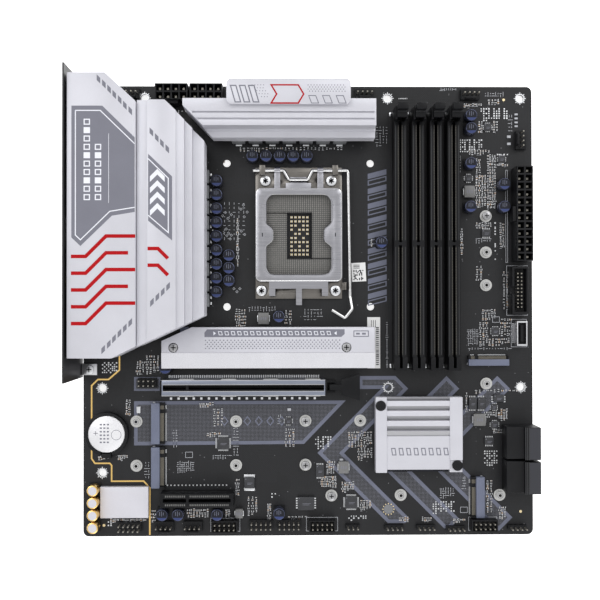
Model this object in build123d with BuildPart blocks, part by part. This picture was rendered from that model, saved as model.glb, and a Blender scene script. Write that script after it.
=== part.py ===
from build123d import *
import os

# Micro-ATX desktop motherboard, in millimetres.
#
# +X runs from the rear connector edge to the front edge, +Y towards the edge with the processor power
# connectors, +Z up from the solder side to the component side. The origin is the middle of the footprint,
# on the plane that the lowest points rest on. Places on the board are given as u, the distance from the
# rear edge, v, the distance from the top (+Y) edge, and h, the height over the component face.
os.makedirs("parts", exist_ok=True)

# ---------------------------------------------------------------- driving dimensions
board_length = 243.84          # rear edge to front edge
board_width = 243.84           # top edge to foot edge
board_thickness = 1.57
board_corner_radius = 3.0
underside_reach = 2.4          # what stands below the board: solder tails, backplate, shield lip
rear_overhang = 3.4            # audio noses behind the rear edge
front_overhang = 0.6           # drive ports past the front edge
shield_overhang = 2.4          # rear shield past the top edge

deck = underside_reach + board_thickness          # component face
rear_x = rear_overhang - (board_length + rear_overhang + front_overhang) / 2
top_y = (board_width - shield_overhang) / 2

case_hole_radius = 1.98
case_holes = [(33.02, 6.35), (165.1, 6.35), (237.49, 6.35), (10.16, 163.83),
              (165.1, 163.83), (237.49, 163.83), (10.16, 209.55)]

socket_u = 116.6
socket_v = 80.9
cooler_hole_span = 78.0
cooler_hole_radius = 2.0

screw_clearance = 0.2          # radial, round a screw that passes through
part_gap = 0.3                 # between pieces that only sit side by side
thread_gap = 0.02              # radial, between a screw and the thread that holds it
seat_gap = 0.05                # between a piece and the cut-out that it sits in
pin_clearance = 0.05           # radial, round a hinge pin

# rear shield, cover and connectors
shield_length = 160.5
shield_top = 40.6
shield_sheet = 0.8
shield_back_u = -1.2           # inner face of the shield
cover_top = 39.0
cover_wall = 1.6
cover_span_v = (2.1, 145.7)
cover_span_u = (-0.2, 34.3)
cover_chamfer_top = 14.5
cover_chamfer_foot = (12.2, 6.0)
cover_skirt = 9.0              # lower edge of the cover's walls
cover_post_radius = 2.6
cover_posts = [(27.5, 24.0), (30.0, 122.0)]

# power stage heatsinks
rear_sink_u = (34.6, 67.4)
rear_sink_v = (15.6, 140.0)
rear_sink_top = 38.0
top_sink_u = (57.0, 156.6)
top_sink_v = (13.5, 31.2)
top_sink_top = 32.0
choke_height = 7.2
choke_top_gap = 0.8            # pad thickness between choke or power stage and heatsink
stage_height = 1.0
plate_u = (79.5, 142.7)
plate_v = (4.1, 17.1)
plate_thickness = 1.6

rear_choke_v = [49.9 + 8.3 * step for step in range(9)]
rear_choke_u = 63.4
top_choke_u = [84.2 + 9.1 * step for step in range(7)]
top_choke_v = 26.6
choke_length = 10.0
choke_width = 7.3
stage_length = 6.0
stage_width = 5.0
rear_stage_u = 49.0
top_stage_v = 17.6

sink_screw_radius = 1.5
rear_sink_screws = [(40.0, 36.0), (40.0, 120.0)]
top_sink_screws = [(73.0, 19.6), (150.0, 19.6)]
screw_head_radius = 2.9
screw_head_height = 1.6

# processor socket
socket_body_u = 41.0
socket_body_v = 50.0
socket_seat_u = 37.7
socket_seat_v = 45.2
socket_floor = 1.6
socket_rim = 4.2
socket_window_u = 12.2
socket_window_v = 24.1
frame_sheet = 1.2
frame_low = 0.4
frame_half_u = 23.4
frame_rear = 36.4              # socket centre to the frame's rear edge
frame_front = 34.6
load_plate_low = 4.9
load_plate_sheet = 1.2
load_plate_half_u = 23.3
load_plate_rear = 24.8
load_plate_front = 25.5
load_opening_u = 35.0
load_opening_v = 44.2
load_opening_radius = 5.5
hinge_offset = 34.5            # socket centre back to the hinge line
hinge_height = 4.6
lever_radius = 0.95
crank_throw = 5.0
frame_screws = [(-18.0, -29.1), (17.6, -29.1), (-20.2, 30.3), (19.8, 30.3)]
frame_screw_radius = 1.5
frame_screw_head = 2.6
backplate_thickness = 1.8

# memory slots
slot_count = 4
slot_pitch = 9.55
first_slot_u = 170.6
slot_width = 6.6
slot_height = 11.5
slot_v = (21.3, 146.7)
slot_groove = 1.6
slot_groove_depth = 8.0
slot_key_v = 86.4
slot_key_length = 1.6
tower_height = 18.5
tower_top_v = 14.4
tower_foot_v = 153.8
tower_cheek = 1.1
latch_pivot_v = 18.0
latch_pivot_h = 4.2
latch_pin_radius = 0.9
latch_thickness = 2.4
latch_head_top = 26.0
latch_head_width = 5.3

# expansion slots
express_u = 42.7
express_height = 11.25
express_width = 7.5
long_slot_length = 88.7
long_slot_v = 162.9
short_slot_length = 39.0
short_slot_v = 222.6
express_key = 14.5             # from the rear end to the key
express_groove = 1.9
express_groove_depth = 8.2
armor_sheet = 0.5
paddle_u = (139.0, 149.0)
paddle_width = 14.6
paddle_low = 7.4
paddle_high = 9.4
paddle_pivot_u = 134.2
paddle_pivot_h = 3.2
paddle_stem = 3.0

# M.2 sockets, standoffs and heatsink
m2_length = 22.0
m2_depth = 8.0
m2_height = 4.2
m2_standoff_radius = 2.1
m2_pad_radius = 3.2
m2_standoff_height = 2.6
m2_thread_radius = 0.85
m2_left_sockets = [(41.0, 182.6), (41.0, 206.4), (56.5, 141.6)]     # cards lie towards the front edge
m2_side_socket = (219.3, 148.9)                                     # card lies towards the top edge
m2_foot_socket = (212.8, 223.1)                                     # card lies towards the rear edge
m2_open_standoffs = [(82.5, 181.9), (82.5, 205.6), (149.8, 181.7), (28.7, 181.8), (28.7, 205.7),
                     (218.5, 90.4), (218.5, 108.3), (218.5, 161.8), (171.7, 222.1), (225.5, 222.3)]
m2_used_standoffs = [(120.1, 181.7), (120.1, 205.5), (218.5, 70.7), (134.1, 222.2)]
m2_sink_u = (43.2, 157.2)
m2_sink_v = (130.7, 152.7)
m2_sink_low = 5.4
m2_sink_top = 9.4
m2_sink_cut = (16.1, 7.3)
m2_sink_screws = [(49.6, 141.6), (141.9, 141.6)]
m2_screw_sink = 1.6            # depth of the well round a heatsink screw
m2_screw_head_radius = 2.3

# chipset
chip_sink_u = (157.4, 204.0)
chip_sink_v = (168.3, 208.6)
chip_sink_low = 2.6
chip_sink_top = 9.2
chip_sink_base = 5.2
chip_package = 28.0
chip_package_height = 1.2
push_pins = [(160.2, 172.9), (201.2, 204.9)]
push_pin_head = 2.2
push_pin_shank = 1.5

# power connectors
power_pitch = 4.2
power_height = 12.8
power_cell = 3.3
power_pin_side = 1.1
power_pin_height = 9.0
main_power_inset = 4.85        # front edge to the outer row of pins
main_power_v = 47.2
cpu_power_v = 3.5
cpu_power_u = [42.6, 61.0]
power_latch_depth = 1.6
power_margin = 2.2             # middle of the outer pins to the housing's face

# drive ports, front panel connectors and headers
drive_port_v = [(184.0, 201.2), (202.3, 219.3)]
drive_port_depth = 17.4
drive_port_height = 15.0
drive_port_back_height = 11.0
usb_header_start = 2.8         # after the end of the main power socket
usb_header_length = 25.6
usb_header_inset = (4.1, 13.0)
usb_header_height = 9.0
c_header_start = 3.8           # after the end of the USB header
c_header_length = 13.2
c_header_inset = (4.6, 10.2)
c_header_height = 7.6
header_pitch = 2.54
header_pin_side = 0.64
header_pin_height = 8.5
header_base = 2.5
fan_wall_height = 6.4
fan_wall_length = 6.2
fan_wall_sheet = 1.2

# battery and audio
battery_spot = (13.1, 188.2)
cell_radius = 10.0
cell_thickness = 3.2
holder_radius = 11.6
holder_height = 4.6
holder_floor = 1.0
audio_cap_v = [217.8, 224.4, 231.0, 237.6]
audio_cap_u = 6.5
audio_cap_radius = 3.0
audio_cap_height = 8.6
audio_shield_u = (9.7, 35.5)
audio_shield_v = (216.6, 233.3)
audio_shield_height = 3.6
audio_shield_sheet = 0.4

# capacitors, inductors and chips
cap_radius = 3.15
cap_height = 7.8
cap_base_height = 0.9
hidden_cap = (45.0, 152.6)      # reaches into a recess of the M.2 heatsink
capacitors = ([(72.4, 52.2 + 7.45 * step) for step in range(9)]
              + [(79.0, 92.2), (79.0, 99.0), (79.0, 105.8)]
              + [(91.7 + 7.3 * step, 39.0) for step in range(5)]
              + [(161.1, 85.3), (105.8, 125.1), hidden_cap]
              + [(209.5, 16.9), (209.5, 23.9), (209.3, 42.7), (209.1, 66.1), (227.4, 53.9), (227.4, 66.1)]
              + [(43.2, 231.0), (51.7, 231.0), (72.6, 231.0), (105.8, 230.6)])
inductor_height = 3.6
inductors = [(209.2, 57.6, 6.6, 6.6), (214.3, 181.2, 7.4, 6.6), (140.6, 206.6, 6.4, 6.6),
             (84.2, 231.3, 5.0, 5.0), (97.5, 126.2, 6.8, 6.4)]
flat_chips = [                 # u, v, length, width, height
    (75.5, 193.7, 6.6, 6.6, 1.4), (144.8, 225.9, 6.6, 6.6, 1.4), (120.3, 226.3, 9.0, 7.2, 1.8),
    (89.7, 215.0, 5.4, 5.8, 2.2), (127.9, 208.9, 4.4, 6.6, 1.0), (210.8, 172.5, 4.2, 6.4, 2.4),
    (215.6, 172.5, 4.2, 6.4, 2.4), (225.1, 169.7, 5.8, 3.8, 2.0), (222.6, 174.5, 3.4, 3.4, 0.9),
    (222.9, 184.2, 4.2, 4.2, 0.9), (219.9, 193.1, 5.0, 3.9, 1.4), (219.7, 22.2, 4.2, 4.2, 0.9),
    (227.3, 39.6, 4.0, 4.0, 0.9), (209.1, 50.0, 4.0, 4.0, 0.9), (218.7, 79.9, 5.0, 3.9, 1.4),
    (223.5, 133.3, 4.4, 4.4, 0.9), (110.8, 181.8, 4.0, 4.0, 0.9)]


# ---------------------------------------------------------------- helpers
def spot(u, v, h=0.0):
    """The point u from the rear edge and v from the top edge, h over the component face."""
    return (rear_x + u, top_y - v, deck + h)


def plan(u, v):
    """The same place as a point of a sketch on a level plane."""
    return (rear_x + u, top_y - v)


def level(h):
    """A level plane, h over the component face."""
    return Plane.XY.offset(deck + h)


def slab(span_u, span_v, span_h, mode=Mode.ADD):
    """Adds or cuts a box between two distances from each edge and two heights."""
    with Locations(spot(sum(span_u) / 2, sum(span_v) / 2, sum(span_h) / 2)):
        Box(span_u[1] - span_u[0], span_v[1] - span_v[0], span_h[1] - span_h[0], mode=mode)


def posts(places, radius, span_h, mode=Mode.ADD):
    """Adds or cuts upright cylinders at several places."""
    with Locations(*[spot(u, v, sum(span_h) / 2) for u, v in places]):
        Cylinder(radius, span_h[1] - span_h[0], mode=mode)


def blocks(places, length, width, span_h, mode=Mode.ADD):
    """Adds or cuts equal boxes, centred on several places."""
    with Locations(*[spot(u, v, sum(span_h) / 2) for u, v in places]):
        Box(length, width, span_h[1] - span_h[0], mode=mode)


def outline(points, span_h, mode=Mode.ADD):
    """Adds or cuts an upright prism over a polygon of u, v points."""
    with BuildSketch(level(span_h[0])) as profile:
        Polygon(*[plan(u, v) for u, v in points], align=None)
    extrude(profile.sketch, amount=span_h[1] - span_h[0], mode=mode)


def around(span, gap):
    """A span made longer by a gap at each end."""
    return (span[0] - gap, span[1] + gap)


def centred(middle, size):
    """The span of a size about its middle."""
    return (middle - size / 2, middle + size / 2)


def save(part, name):
    """Labels a finished piece and writes it."""
    part.label = name
    export_step(part, f"parts/{name}.step")


underside = -board_thickness
floor_h = -deck                # the plane that everything rests on, as a height h

rear_stages = [(rear_stage_u, v) for v in rear_choke_v]
top_stages = [(u, top_stage_v) for u in top_choke_u]
rear_chokes = [(rear_choke_u, v) for v in rear_choke_v]
top_chokes = [(u, top_choke_v) for u in top_choke_u]
frame_screw_spots = [(socket_u + u, socket_v + v) for u, v in frame_screws]
cooler_spots = [(socket_u + side * cooler_hole_span / 2, socket_v + end * cooler_hole_span / 2)
                for side in (-1, 1) for end in (-1, 1)]
sink_screw_spots = rear_sink_screws + top_sink_screws + cover_posts
main_power_u = board_length - main_power_inset
main_power_rows = [main_power_v + power_pitch * step for step in range(12)]
main_power_pins = [(main_power_u - power_pitch * column, v) for column in range(2) for v in main_power_rows]
cpu_power_pins = [(start + power_pitch * column, cpu_power_v + power_pitch * row)
                  for start in cpu_power_u for column in range(4) for row in range(2)]


def header_pins_at(middle_u, middle_v, columns, rows, pitch=header_pitch):
    """The pin places of one header, about its middle."""
    return [(middle_u + (column - (columns - 1) / 2) * pitch, middle_v + (row - (rows - 1) / 2) * pitch)
            for column in range(columns) for row in range(rows)]


# middle u, middle v, columns, rows, shrouded
board_headers = [(34.8, 160.8, 4, 2, False), (25.3, 238.4, 5, 2, False), (76.5, 237.8, 5, 2, True),
                 (96.1, 237.5, 5, 2, False), (111.1, 237.5, 5, 2, False), (128.9, 237.7, 5, 2, True),
                 (145.5, 238.9, 3, 1, False), (167.9, 239.3, 4, 1, False), (185.1, 239.3, 4, 1, False),
                 (201.2, 239.9, 4, 1, False), (216.3, 237.9, 5, 2, True), (234.8, 239.6, 4, 1, False)]
# middle u, middle v, runs along u
fan_headers = [(25.6, 4.4, True), (152.2, 4.4, True), (209.8, 4.7, True), (237.4, 29.4, False),
               (43.9, 238.3, True), (59.3, 238.3, True)]
fan_header_length = 10.2
fan_header_depth = 5.8
usb_header_low_v = main_power_rows[-1] + power_margin + usb_header_start
usb_header_v = (usb_header_low_v, usb_header_low_v + usb_header_length)
c_header_v = (usb_header_v[1] + c_header_start, usb_header_v[1] + c_header_start + c_header_length)
usb_header_u = (board_length - usb_header_inset[1], board_length - usb_header_inset[0])
usb_pitch = 2.0
usb_pins = header_pins_at(sum(usb_header_u) / 2, sum(usb_header_v) / 2, 2, 10, usb_pitch)
header_pins = []
for middle_u, middle_v, columns, rows, shrouded in board_headers:
    header_pins += header_pins_at(middle_u, middle_v, columns, rows)
for middle_u, middle_v, along in fan_headers:
    header_pins += header_pins_at(middle_u, middle_v, 4 if along else 1, 1 if along else 4)

tail_radius_power = 0.95       # plated hole round a power pin
tail_radius_header = 0.55
tail_low = floor_h             # power pin tails reach the resting plane
header_tail_low = underside - 1.7

# ---------------------------------------------------------------- bare board
with BuildPart() as pcb:
    with BuildSketch(level(underside)):
        with Locations(plan(board_length / 2, board_width / 2)):
            RectangleRounded(board_length, board_width, board_corner_radius)
        with Locations(*[plan(u, v) for u, v in case_holes]):
            Circle(case_hole_radius, mode=Mode.SUBTRACT)
        with Locations(*[plan(u, v) for u, v in cooler_spots]):
            Circle(cooler_hole_radius, mode=Mode.SUBTRACT)
        with Locations(*[plan(u, v) for u, v in frame_screw_spots]):
            Circle(frame_screw_radius + screw_clearance, mode=Mode.SUBTRACT)
        with Locations(*[plan(u, v) for u, v in sink_screw_spots]):
            Circle(sink_screw_radius + screw_clearance, mode=Mode.SUBTRACT)
        with Locations(*[plan(u, v) for u, v in push_pins]):
            Circle(push_pin_shank + screw_clearance, mode=Mode.SUBTRACT)
        with Locations(*[plan(u, v) for u, v in main_power_pins + cpu_power_pins]):
            Circle(tail_radius_power, mode=Mode.SUBTRACT)
        with Locations(*[plan(u, v) for u, v in header_pins + usb_pins]):
            Circle(tail_radius_header, mode=Mode.SUBTRACT)
    extrude(amount=board_thickness)
save(pcb.part, "pcb")

# ---------------------------------------------------------------- rear connectors
port_back_u = 14.6             # depth of the connector bodies behind the board's edge
port_face_u = -2.6             # mouths of the connectors
tower_width = 14.4
tower_heights = [1.6, 9.2]     # lower edge of each socket mouth in a two-high tower
tower_height_usb = 15.8
mouth_usb = (12.5, 5.1)
mouth_depth = 9.0
tongue_thickness = 1.8
tongue_setback = 0.6
tongue_side = 0.8              # free space at each side of a tongue
usb_towers = [12.0, 28.4, 63.4]
display_v = 45.9
display_width = 16.4
display_height = 20.4
display_mouths = [(13.4, 4.6, 2.4), (14.2, 5.2, 12.6)]     # width, height, lower edge
network_v = 81.4
network_width = 16.6
network_height = 29.6
network_mouth = (11.8, 8.6)
network_mouth_low = 18.6
network_mouth_depth = 13.0
network_extra_depth = 6.0
small_tower_v = 96.6
small_tower_width = 9.6
small_tower_height = 13.4
small_mouth = (8.4, 2.6)
small_mouth_lows = [2.2, 8.6]
antenna_v = 106.0
antenna_heights = [9.0, 22.0]
antenna_radius = 3.1
antenna_bore = 0.9
antenna_block = (9.0, 28.0)
antenna_block_u = (0.4, 4.4)
jack_columns = [118.6, 131.0]
jack_rows = [5.8, 17.4, 29.0]
jack_nose_radius = 4.1
jack_bore_radius = 1.8
jack_bore_depth = 14.0
jack_block_v = (112.6, 137.2)
jack_block_height = 34.6
jack_face_u = -rear_overhang


def sunk_mouth(middle_v, low_h, width, height, depth):
    """Cuts a connector's mouth from its face inwards, leaving a tongue in the middle."""
    deep = port_face_u + depth
    middle = low_h + height / 2
    slab((port_face_u, deep), centred(middle_v, width), (low_h, low_h + height), Mode.SUBTRACT)
    slab((port_face_u + tongue_setback, deep), centred(middle_v, width - 2 * tongue_side),
         centred(middle, min(tongue_thickness, height / 3)))


with BuildPart() as usb_ports:
    for tower in usb_towers:
        slab((port_face_u, port_back_u), centred(tower, tower_width), (0, tower_height_usb))
        for low in tower_heights:
            sunk_mouth(tower, low, *mouth_usb, mouth_depth)
    slab((port_face_u, port_back_u), centred(small_tower_v, small_tower_width), (0, small_tower_height))
    for low in small_mouth_lows:
        sunk_mouth(small_tower_v, low, *small_mouth, mouth_depth)
save(usb_ports.part, "usb_ports")

with BuildPart() as display_ports:
    slab((port_face_u, port_back_u), centred(display_v, display_width), (0, display_height))
    for width, height, low in display_mouths:
        sunk_mouth(display_v, low, width, height, mouth_depth)
save(display_ports.part, "display_ports")

with BuildPart() as network_port:
    slab((port_face_u, port_back_u + network_extra_depth), centred(network_v, network_width),
         (0, network_height))
    for low in tower_heights:
        sunk_mouth(network_v, low, *mouth_usb, mouth_depth)
    slab((port_face_u, port_face_u + network_mouth_depth), centred(network_v, network_mouth[0]),
         (network_mouth_low, network_mouth_low + network_mouth[1]), Mode.SUBTRACT)
save(network_port.part, "network_port")

with BuildPart() as antenna_posts:
    slab(antenna_block_u, centred(antenna_v, antenna_block[0]), (0, antenna_block[1]))
    post_length = antenna_block_u[0] - port_face_u
    for height in antenna_heights:
        with Locations(Location(spot(port_face_u + post_length / 2, antenna_v, height), (0, 90, 0))):
            Cylinder(antenna_radius, post_length)
            Cylinder(antenna_bore, post_length, mode=Mode.SUBTRACT)
save(antenna_posts.part, "antenna_posts")

with BuildPart() as audio_jacks:
    slab((0.0, port_back_u), jack_block_v, (0, jack_block_height))
    for column in jack_columns:
        for row in jack_rows:
            with Locations(Location(spot(jack_face_u / 2, column, row), (0, 90, 0))):
                Cylinder(jack_nose_radius, -jack_face_u)
            with Locations(Location(spot(jack_face_u + jack_bore_depth / 2, column, row), (0, 90, 0))):
                Cylinder(jack_bore_radius, jack_bore_depth, mode=Mode.SUBTRACT)
save(audio_jacks.part, "audio_jacks")

# ---------------------------------------------------------------- rear shield and cover
shield_v = (-shield_overhang, shield_length - shield_overhang)
shield_u = (shield_back_u - shield_sheet, shield_back_u)
bracket_v = (150.4, 156.6)
bracket_reach = 6.6
bracket_screw = (3.4, 153.6)
shield_screw_radius = 1.3
shield_screw_head = 2.5

with BuildPart() as io_shield:
    slab(shield_u, shield_v, (floor_h, shield_top))
    windows = [(tower, tower_width, tower_height_usb) for tower in usb_towers]
    windows += [(small_tower_v, small_tower_width, small_tower_height),
                (display_v, display_width, display_height), (network_v, network_width, network_height)]
    for middle_v, width, height in windows:
        slab(shield_u, around(centred(middle_v, width), part_gap), around((0, height), part_gap),
             Mode.SUBTRACT)
    for height in antenna_heights:
        with Locations(Location(spot(sum(shield_u) / 2, antenna_v, height), (0, 90, 0))):
            Cylinder(antenna_radius + part_gap, shield_sheet, mode=Mode.SUBTRACT)
    for column in jack_columns:
        for row in jack_rows:
            with Locations(Location(spot(sum(shield_u) / 2, column, row), (0, 90, 0))):
                Cylinder(jack_nose_radius + part_gap, shield_sheet, mode=Mode.SUBTRACT)
    slab((shield_back_u, bracket_reach), bracket_v, (0, shield_sheet))
    posts([bracket_screw], shield_screw_radius + screw_clearance, (0, shield_sheet), Mode.SUBTRACT)
save(io_shield.part, "io_shield")

with BuildPart() as shield_screw:
    posts([bracket_screw], shield_screw_head, (shield_sheet, shield_sheet + screw_head_height))
    posts([bracket_screw], shield_screw_radius, (0, shield_sheet))
save(shield_screw.part, "shield_screw")

cover_corners = [(cover_span_u[0], cover_span_v[0]),
                 (cover_span_u[1] - cover_chamfer_top - 1.0, cover_span_v[0]),
                 (cover_span_u[1], cover_span_v[0] + cover_chamfer_top),
                 (cover_span_u[1], cover_span_v[1] - cover_chamfer_foot[1]),
                 (cover_span_u[1] - cover_chamfer_foot[0], cover_span_v[1]),
                 (cover_span_u[0], cover_span_v[1])]

with BuildPart() as io_cover:
    outline(cover_corners, (cover_skirt, cover_top))
    with BuildSketch(level(cover_skirt)) as hollow:
        Polygon(*[plan(u, v) for u, v in cover_corners], align=None)
        offset(amount=-cover_wall, kind=Kind.INTERSECTION)
    extrude(hollow.sketch, amount=cover_top - cover_wall - cover_skirt, mode=Mode.SUBTRACT)
    slab((cover_span_u[0], cover_span_u[0] + cover_wall), around(cover_span_v, -cover_wall),
         (cover_skirt, cover_top - cover_wall), Mode.SUBTRACT)
    posts(cover_posts, cover_post_radius, (0, cover_top - cover_wall))
    posts(cover_posts, sink_screw_radius + thread_gap, (0, cover_skirt), Mode.SUBTRACT)
save(io_cover.part, "io_cover")

# ---------------------------------------------------------------- power stages and their heatsinks
stage_top = stage_height + choke_top_gap
choke_top = choke_height + choke_top_gap
fin_pitch = 4.0
fin_groove = 1.8
fin_start = 2.2                # first groove over the foot of the heatsink
fin_depth_rear = 5.0
fin_depth_top = 3.3
sink_foot_wall = 2.2           # metal round a heatsink's screw

with BuildPart() as power_stages:
    blocks(rear_stages, stage_width, stage_length, (0, stage_height))
    blocks(top_stages, stage_length, stage_width, (0, stage_height))
save(power_stages.part, "power_stages")

with BuildPart() as chokes:
    blocks(rear_chokes, choke_length, choke_width, (0, choke_height))
    blocks(top_chokes, choke_width, choke_length, (0, choke_height))
save(chokes.part, "chokes")

rear_pad_v = (rear_choke_v[0] - 4.0, rear_choke_v[-1] + 4.0)
top_pad_u = (top_choke_u[0] - 4.0, top_choke_u[-1] + 4.0)
with BuildPart() as power_pads:
    slab(centred(rear_stage_u, stage_width), rear_pad_v, (stage_height, stage_top))
    slab((rear_choke_u - choke_length / 2, rear_sink_u[1] - 1.0), rear_pad_v, (choke_height, choke_top))
    slab(top_pad_u, centred(top_stage_v, stage_width), (stage_height, stage_top))
    slab(top_pad_u, (top_choke_v - choke_length / 2, top_sink_v[1] - 1.0), (choke_height, choke_top))
save(power_pads.part, "power_pads")

rear_low = [(rear_sink_u[0], rear_sink_v[0]), (48.7, rear_sink_v[0]), (rear_sink_u[1], 34.0),
            (rear_sink_u[1], 124.6), (rear_sink_u[0], rear_sink_v[1])]
rear_high = [(rear_sink_u[0], rear_sink_v[0]), (48.7, rear_sink_v[0]), (54.3, 21.0),
             (54.3, 130.6), (rear_sink_u[0], rear_sink_v[1])]
rear_step = [(48.7, rear_sink_v[0]), (58.3, 25.2), (58.3, 128.9), (40.0, 137.6)]
rear_ledge = [(48.7, rear_sink_v[0]), (61.8, 28.5), (61.8, 127.2), (40.0, 137.6)]
rear_fin_tops = 25.0
channel_u = 39.9
channel_depth = 1.6

with BuildPart() as rear_heatsink:
    outline(rear_low, (choke_top, rear_fin_tops))
    outline(rear_high, (choke_top, rear_sink_top))
    outline(rear_step, (choke_top, rear_sink_top - 2.0))
    outline(rear_ledge, (choke_top, rear_sink_top - 7.0))
    slab((rear_sink_u[0], channel_u), rear_sink_v, (rear_sink_top - channel_depth, rear_sink_top),
         Mode.SUBTRACT)
    for step in range(4):
        low = choke_top + fin_start + fin_pitch * step
        slab((rear_sink_u[1] - fin_depth_rear, rear_sink_u[1]), around(rear_sink_v, 1.0),
             (low, low + fin_groove), Mode.SUBTRACT)
    slab(centred(rear_stage_u, stage_width + 3.0), around(rear_pad_v, 1.0), (stage_top, choke_top))
    posts(rear_sink_screws, sink_screw_radius + sink_foot_wall, (0, choke_top))
    posts(rear_sink_screws, sink_screw_radius + thread_gap, (0, choke_top), Mode.SUBTRACT)
save(rear_heatsink.part, "rear_heatsink")

top_low = [(top_sink_u[0], top_sink_v[0]), (top_sink_u[1], top_sink_v[0]), (top_sink_u[1], top_sink_v[1]),
           (71.2, top_sink_v[1]), (top_sink_u[0], 17.0)]
top_high = [(top_sink_u[0], top_sink_v[0]), (155.9, top_sink_v[0]), (155.9, 27.3), (67.3, 27.3),
            (top_sink_u[0], 17.0)]
top_fin_tops = 20.0
top_line_v = [20.6, 24.0]      # two shallow grooves along the top face
top_line_u = (62.0, 155.0)
top_line_width = 1.0
top_line_depth = 1.2
plate_stand = 1.2              # height of the feet under the accent plate
plate_foot_inset = 6.0
plate_foot_v = 15.2

with BuildPart() as top_heatsink:
    outline(top_low, (choke_top, top_fin_tops))
    outline(top_high, (choke_top, top_sink_top))
    for step in range(3):
        low = choke_top + fin_start + fin_pitch * step
        slab(top_sink_u, (top_sink_v[1] - fin_depth_top, top_sink_v[1]), (low, low + fin_groove),
             Mode.SUBTRACT)
    for v in top_line_v:
        slab(top_line_u, centred(v, top_line_width), (top_sink_top - top_line_depth, top_sink_top),
             Mode.SUBTRACT)
    slab(around(top_pad_u, 1.0), centred(top_stage_v, stage_width + 1.6), (stage_top, choke_top))
    posts(top_sink_screws, sink_screw_radius + sink_foot_wall, (0, choke_top))
    posts(top_sink_screws, sink_screw_radius + thread_gap, (0, choke_top), Mode.SUBTRACT)
    blocks([(u, plate_foot_v) for u in around(plate_u, -plate_foot_inset)], 6.0, 3.0,
           (top_sink_top, top_sink_top + plate_stand))
save(top_heatsink.part, "top_heatsink")

with BuildPart() as accent_plate:
    slab(plate_u, plate_v, (top_sink_top + plate_stand, top_sink_top + plate_stand + plate_thickness))
    chamfer(accent_plate.edges().filter_by(Axis.Z), length=1.6)
save(accent_plate.part, "accent_plate")

with BuildPart() as heatsink_screws:
    posts(sink_screw_spots, screw_head_radius, (underside - screw_head_height, underside))
    posts(sink_screw_spots, sink_screw_radius, (underside, choke_top))
save(heatsink_screws.part, "heatsink_screws")

# ---------------------------------------------------------------- processor socket
body_u = centred(socket_u, socket_body_u)
body_v = centred(socket_v, socket_body_v)
seat_u = centred(socket_u, socket_seat_u)
seat_v = centred(socket_v, socket_seat_v)
window_u = centred(socket_u, socket_window_u)
window_v = centred(socket_v, socket_window_v)
hinge_v = socket_v - hinge_offset
bearing_length = 3.0
bearing_u = [socket_u - 19.6, socket_u + 19.6]
knuckle_u = [socket_u - 11.6, socket_u + 11.6]
knuckle_length = 3.2
knuckle_radius = 2.0
crank_span = (-5.4, 5.0)       # flat part of the crank, from the socket's middle
crank_ends = (-8.2, 7.4)
lever_shaft_u = (92.0, 143.2)
lever_arm_v = 114.5
lever_grip = [(145.2, 121.1), (141.3, 126.0), (134.3, 121.7)]
lever_grip_rise = 1.6

with BuildPart() as socket_body:
    slab(body_u, body_v, (0, socket_rim))
    slab(seat_u, seat_v, (socket_floor, socket_rim), Mode.SUBTRACT)
    slab(window_u, window_v, (0, socket_rim), Mode.SUBTRACT)
save(socket_body.part, "socket_body")

with BuildPart() as socket_frame:
    slab(centred(socket_u, 2 * frame_half_u), (socket_v - frame_rear, socket_v + frame_front),
         (frame_low, frame_low + frame_sheet))
    slab(around(body_u, part_gap), around(body_v, part_gap), (frame_low, frame_low + frame_sheet),
         Mode.SUBTRACT)
    for middle in bearing_u:
        slab(centred(middle, bearing_length), centred(hinge_v, 5.0),
             (frame_low, hinge_height + lever_radius + 1.3))
        with Locations(Location(spot(middle, hinge_v, hinge_height), (0, 90, 0))):
            Cylinder(lever_radius + pin_clearance, bearing_length, mode=Mode.SUBTRACT)
    slab((socket_u + frame_half_u - 3.0, 142.0), (106.8, 110.8), (frame_low, frame_low + frame_sheet))
    slab((141.0, 142.0), (106.8, 110.8), (frame_low, 6.8))
    posts(frame_screw_spots, frame_screw_radius + screw_clearance, (frame_low, frame_low + frame_sheet),
          Mode.SUBTRACT)
save(socket_frame.part, "socket_frame")

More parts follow.
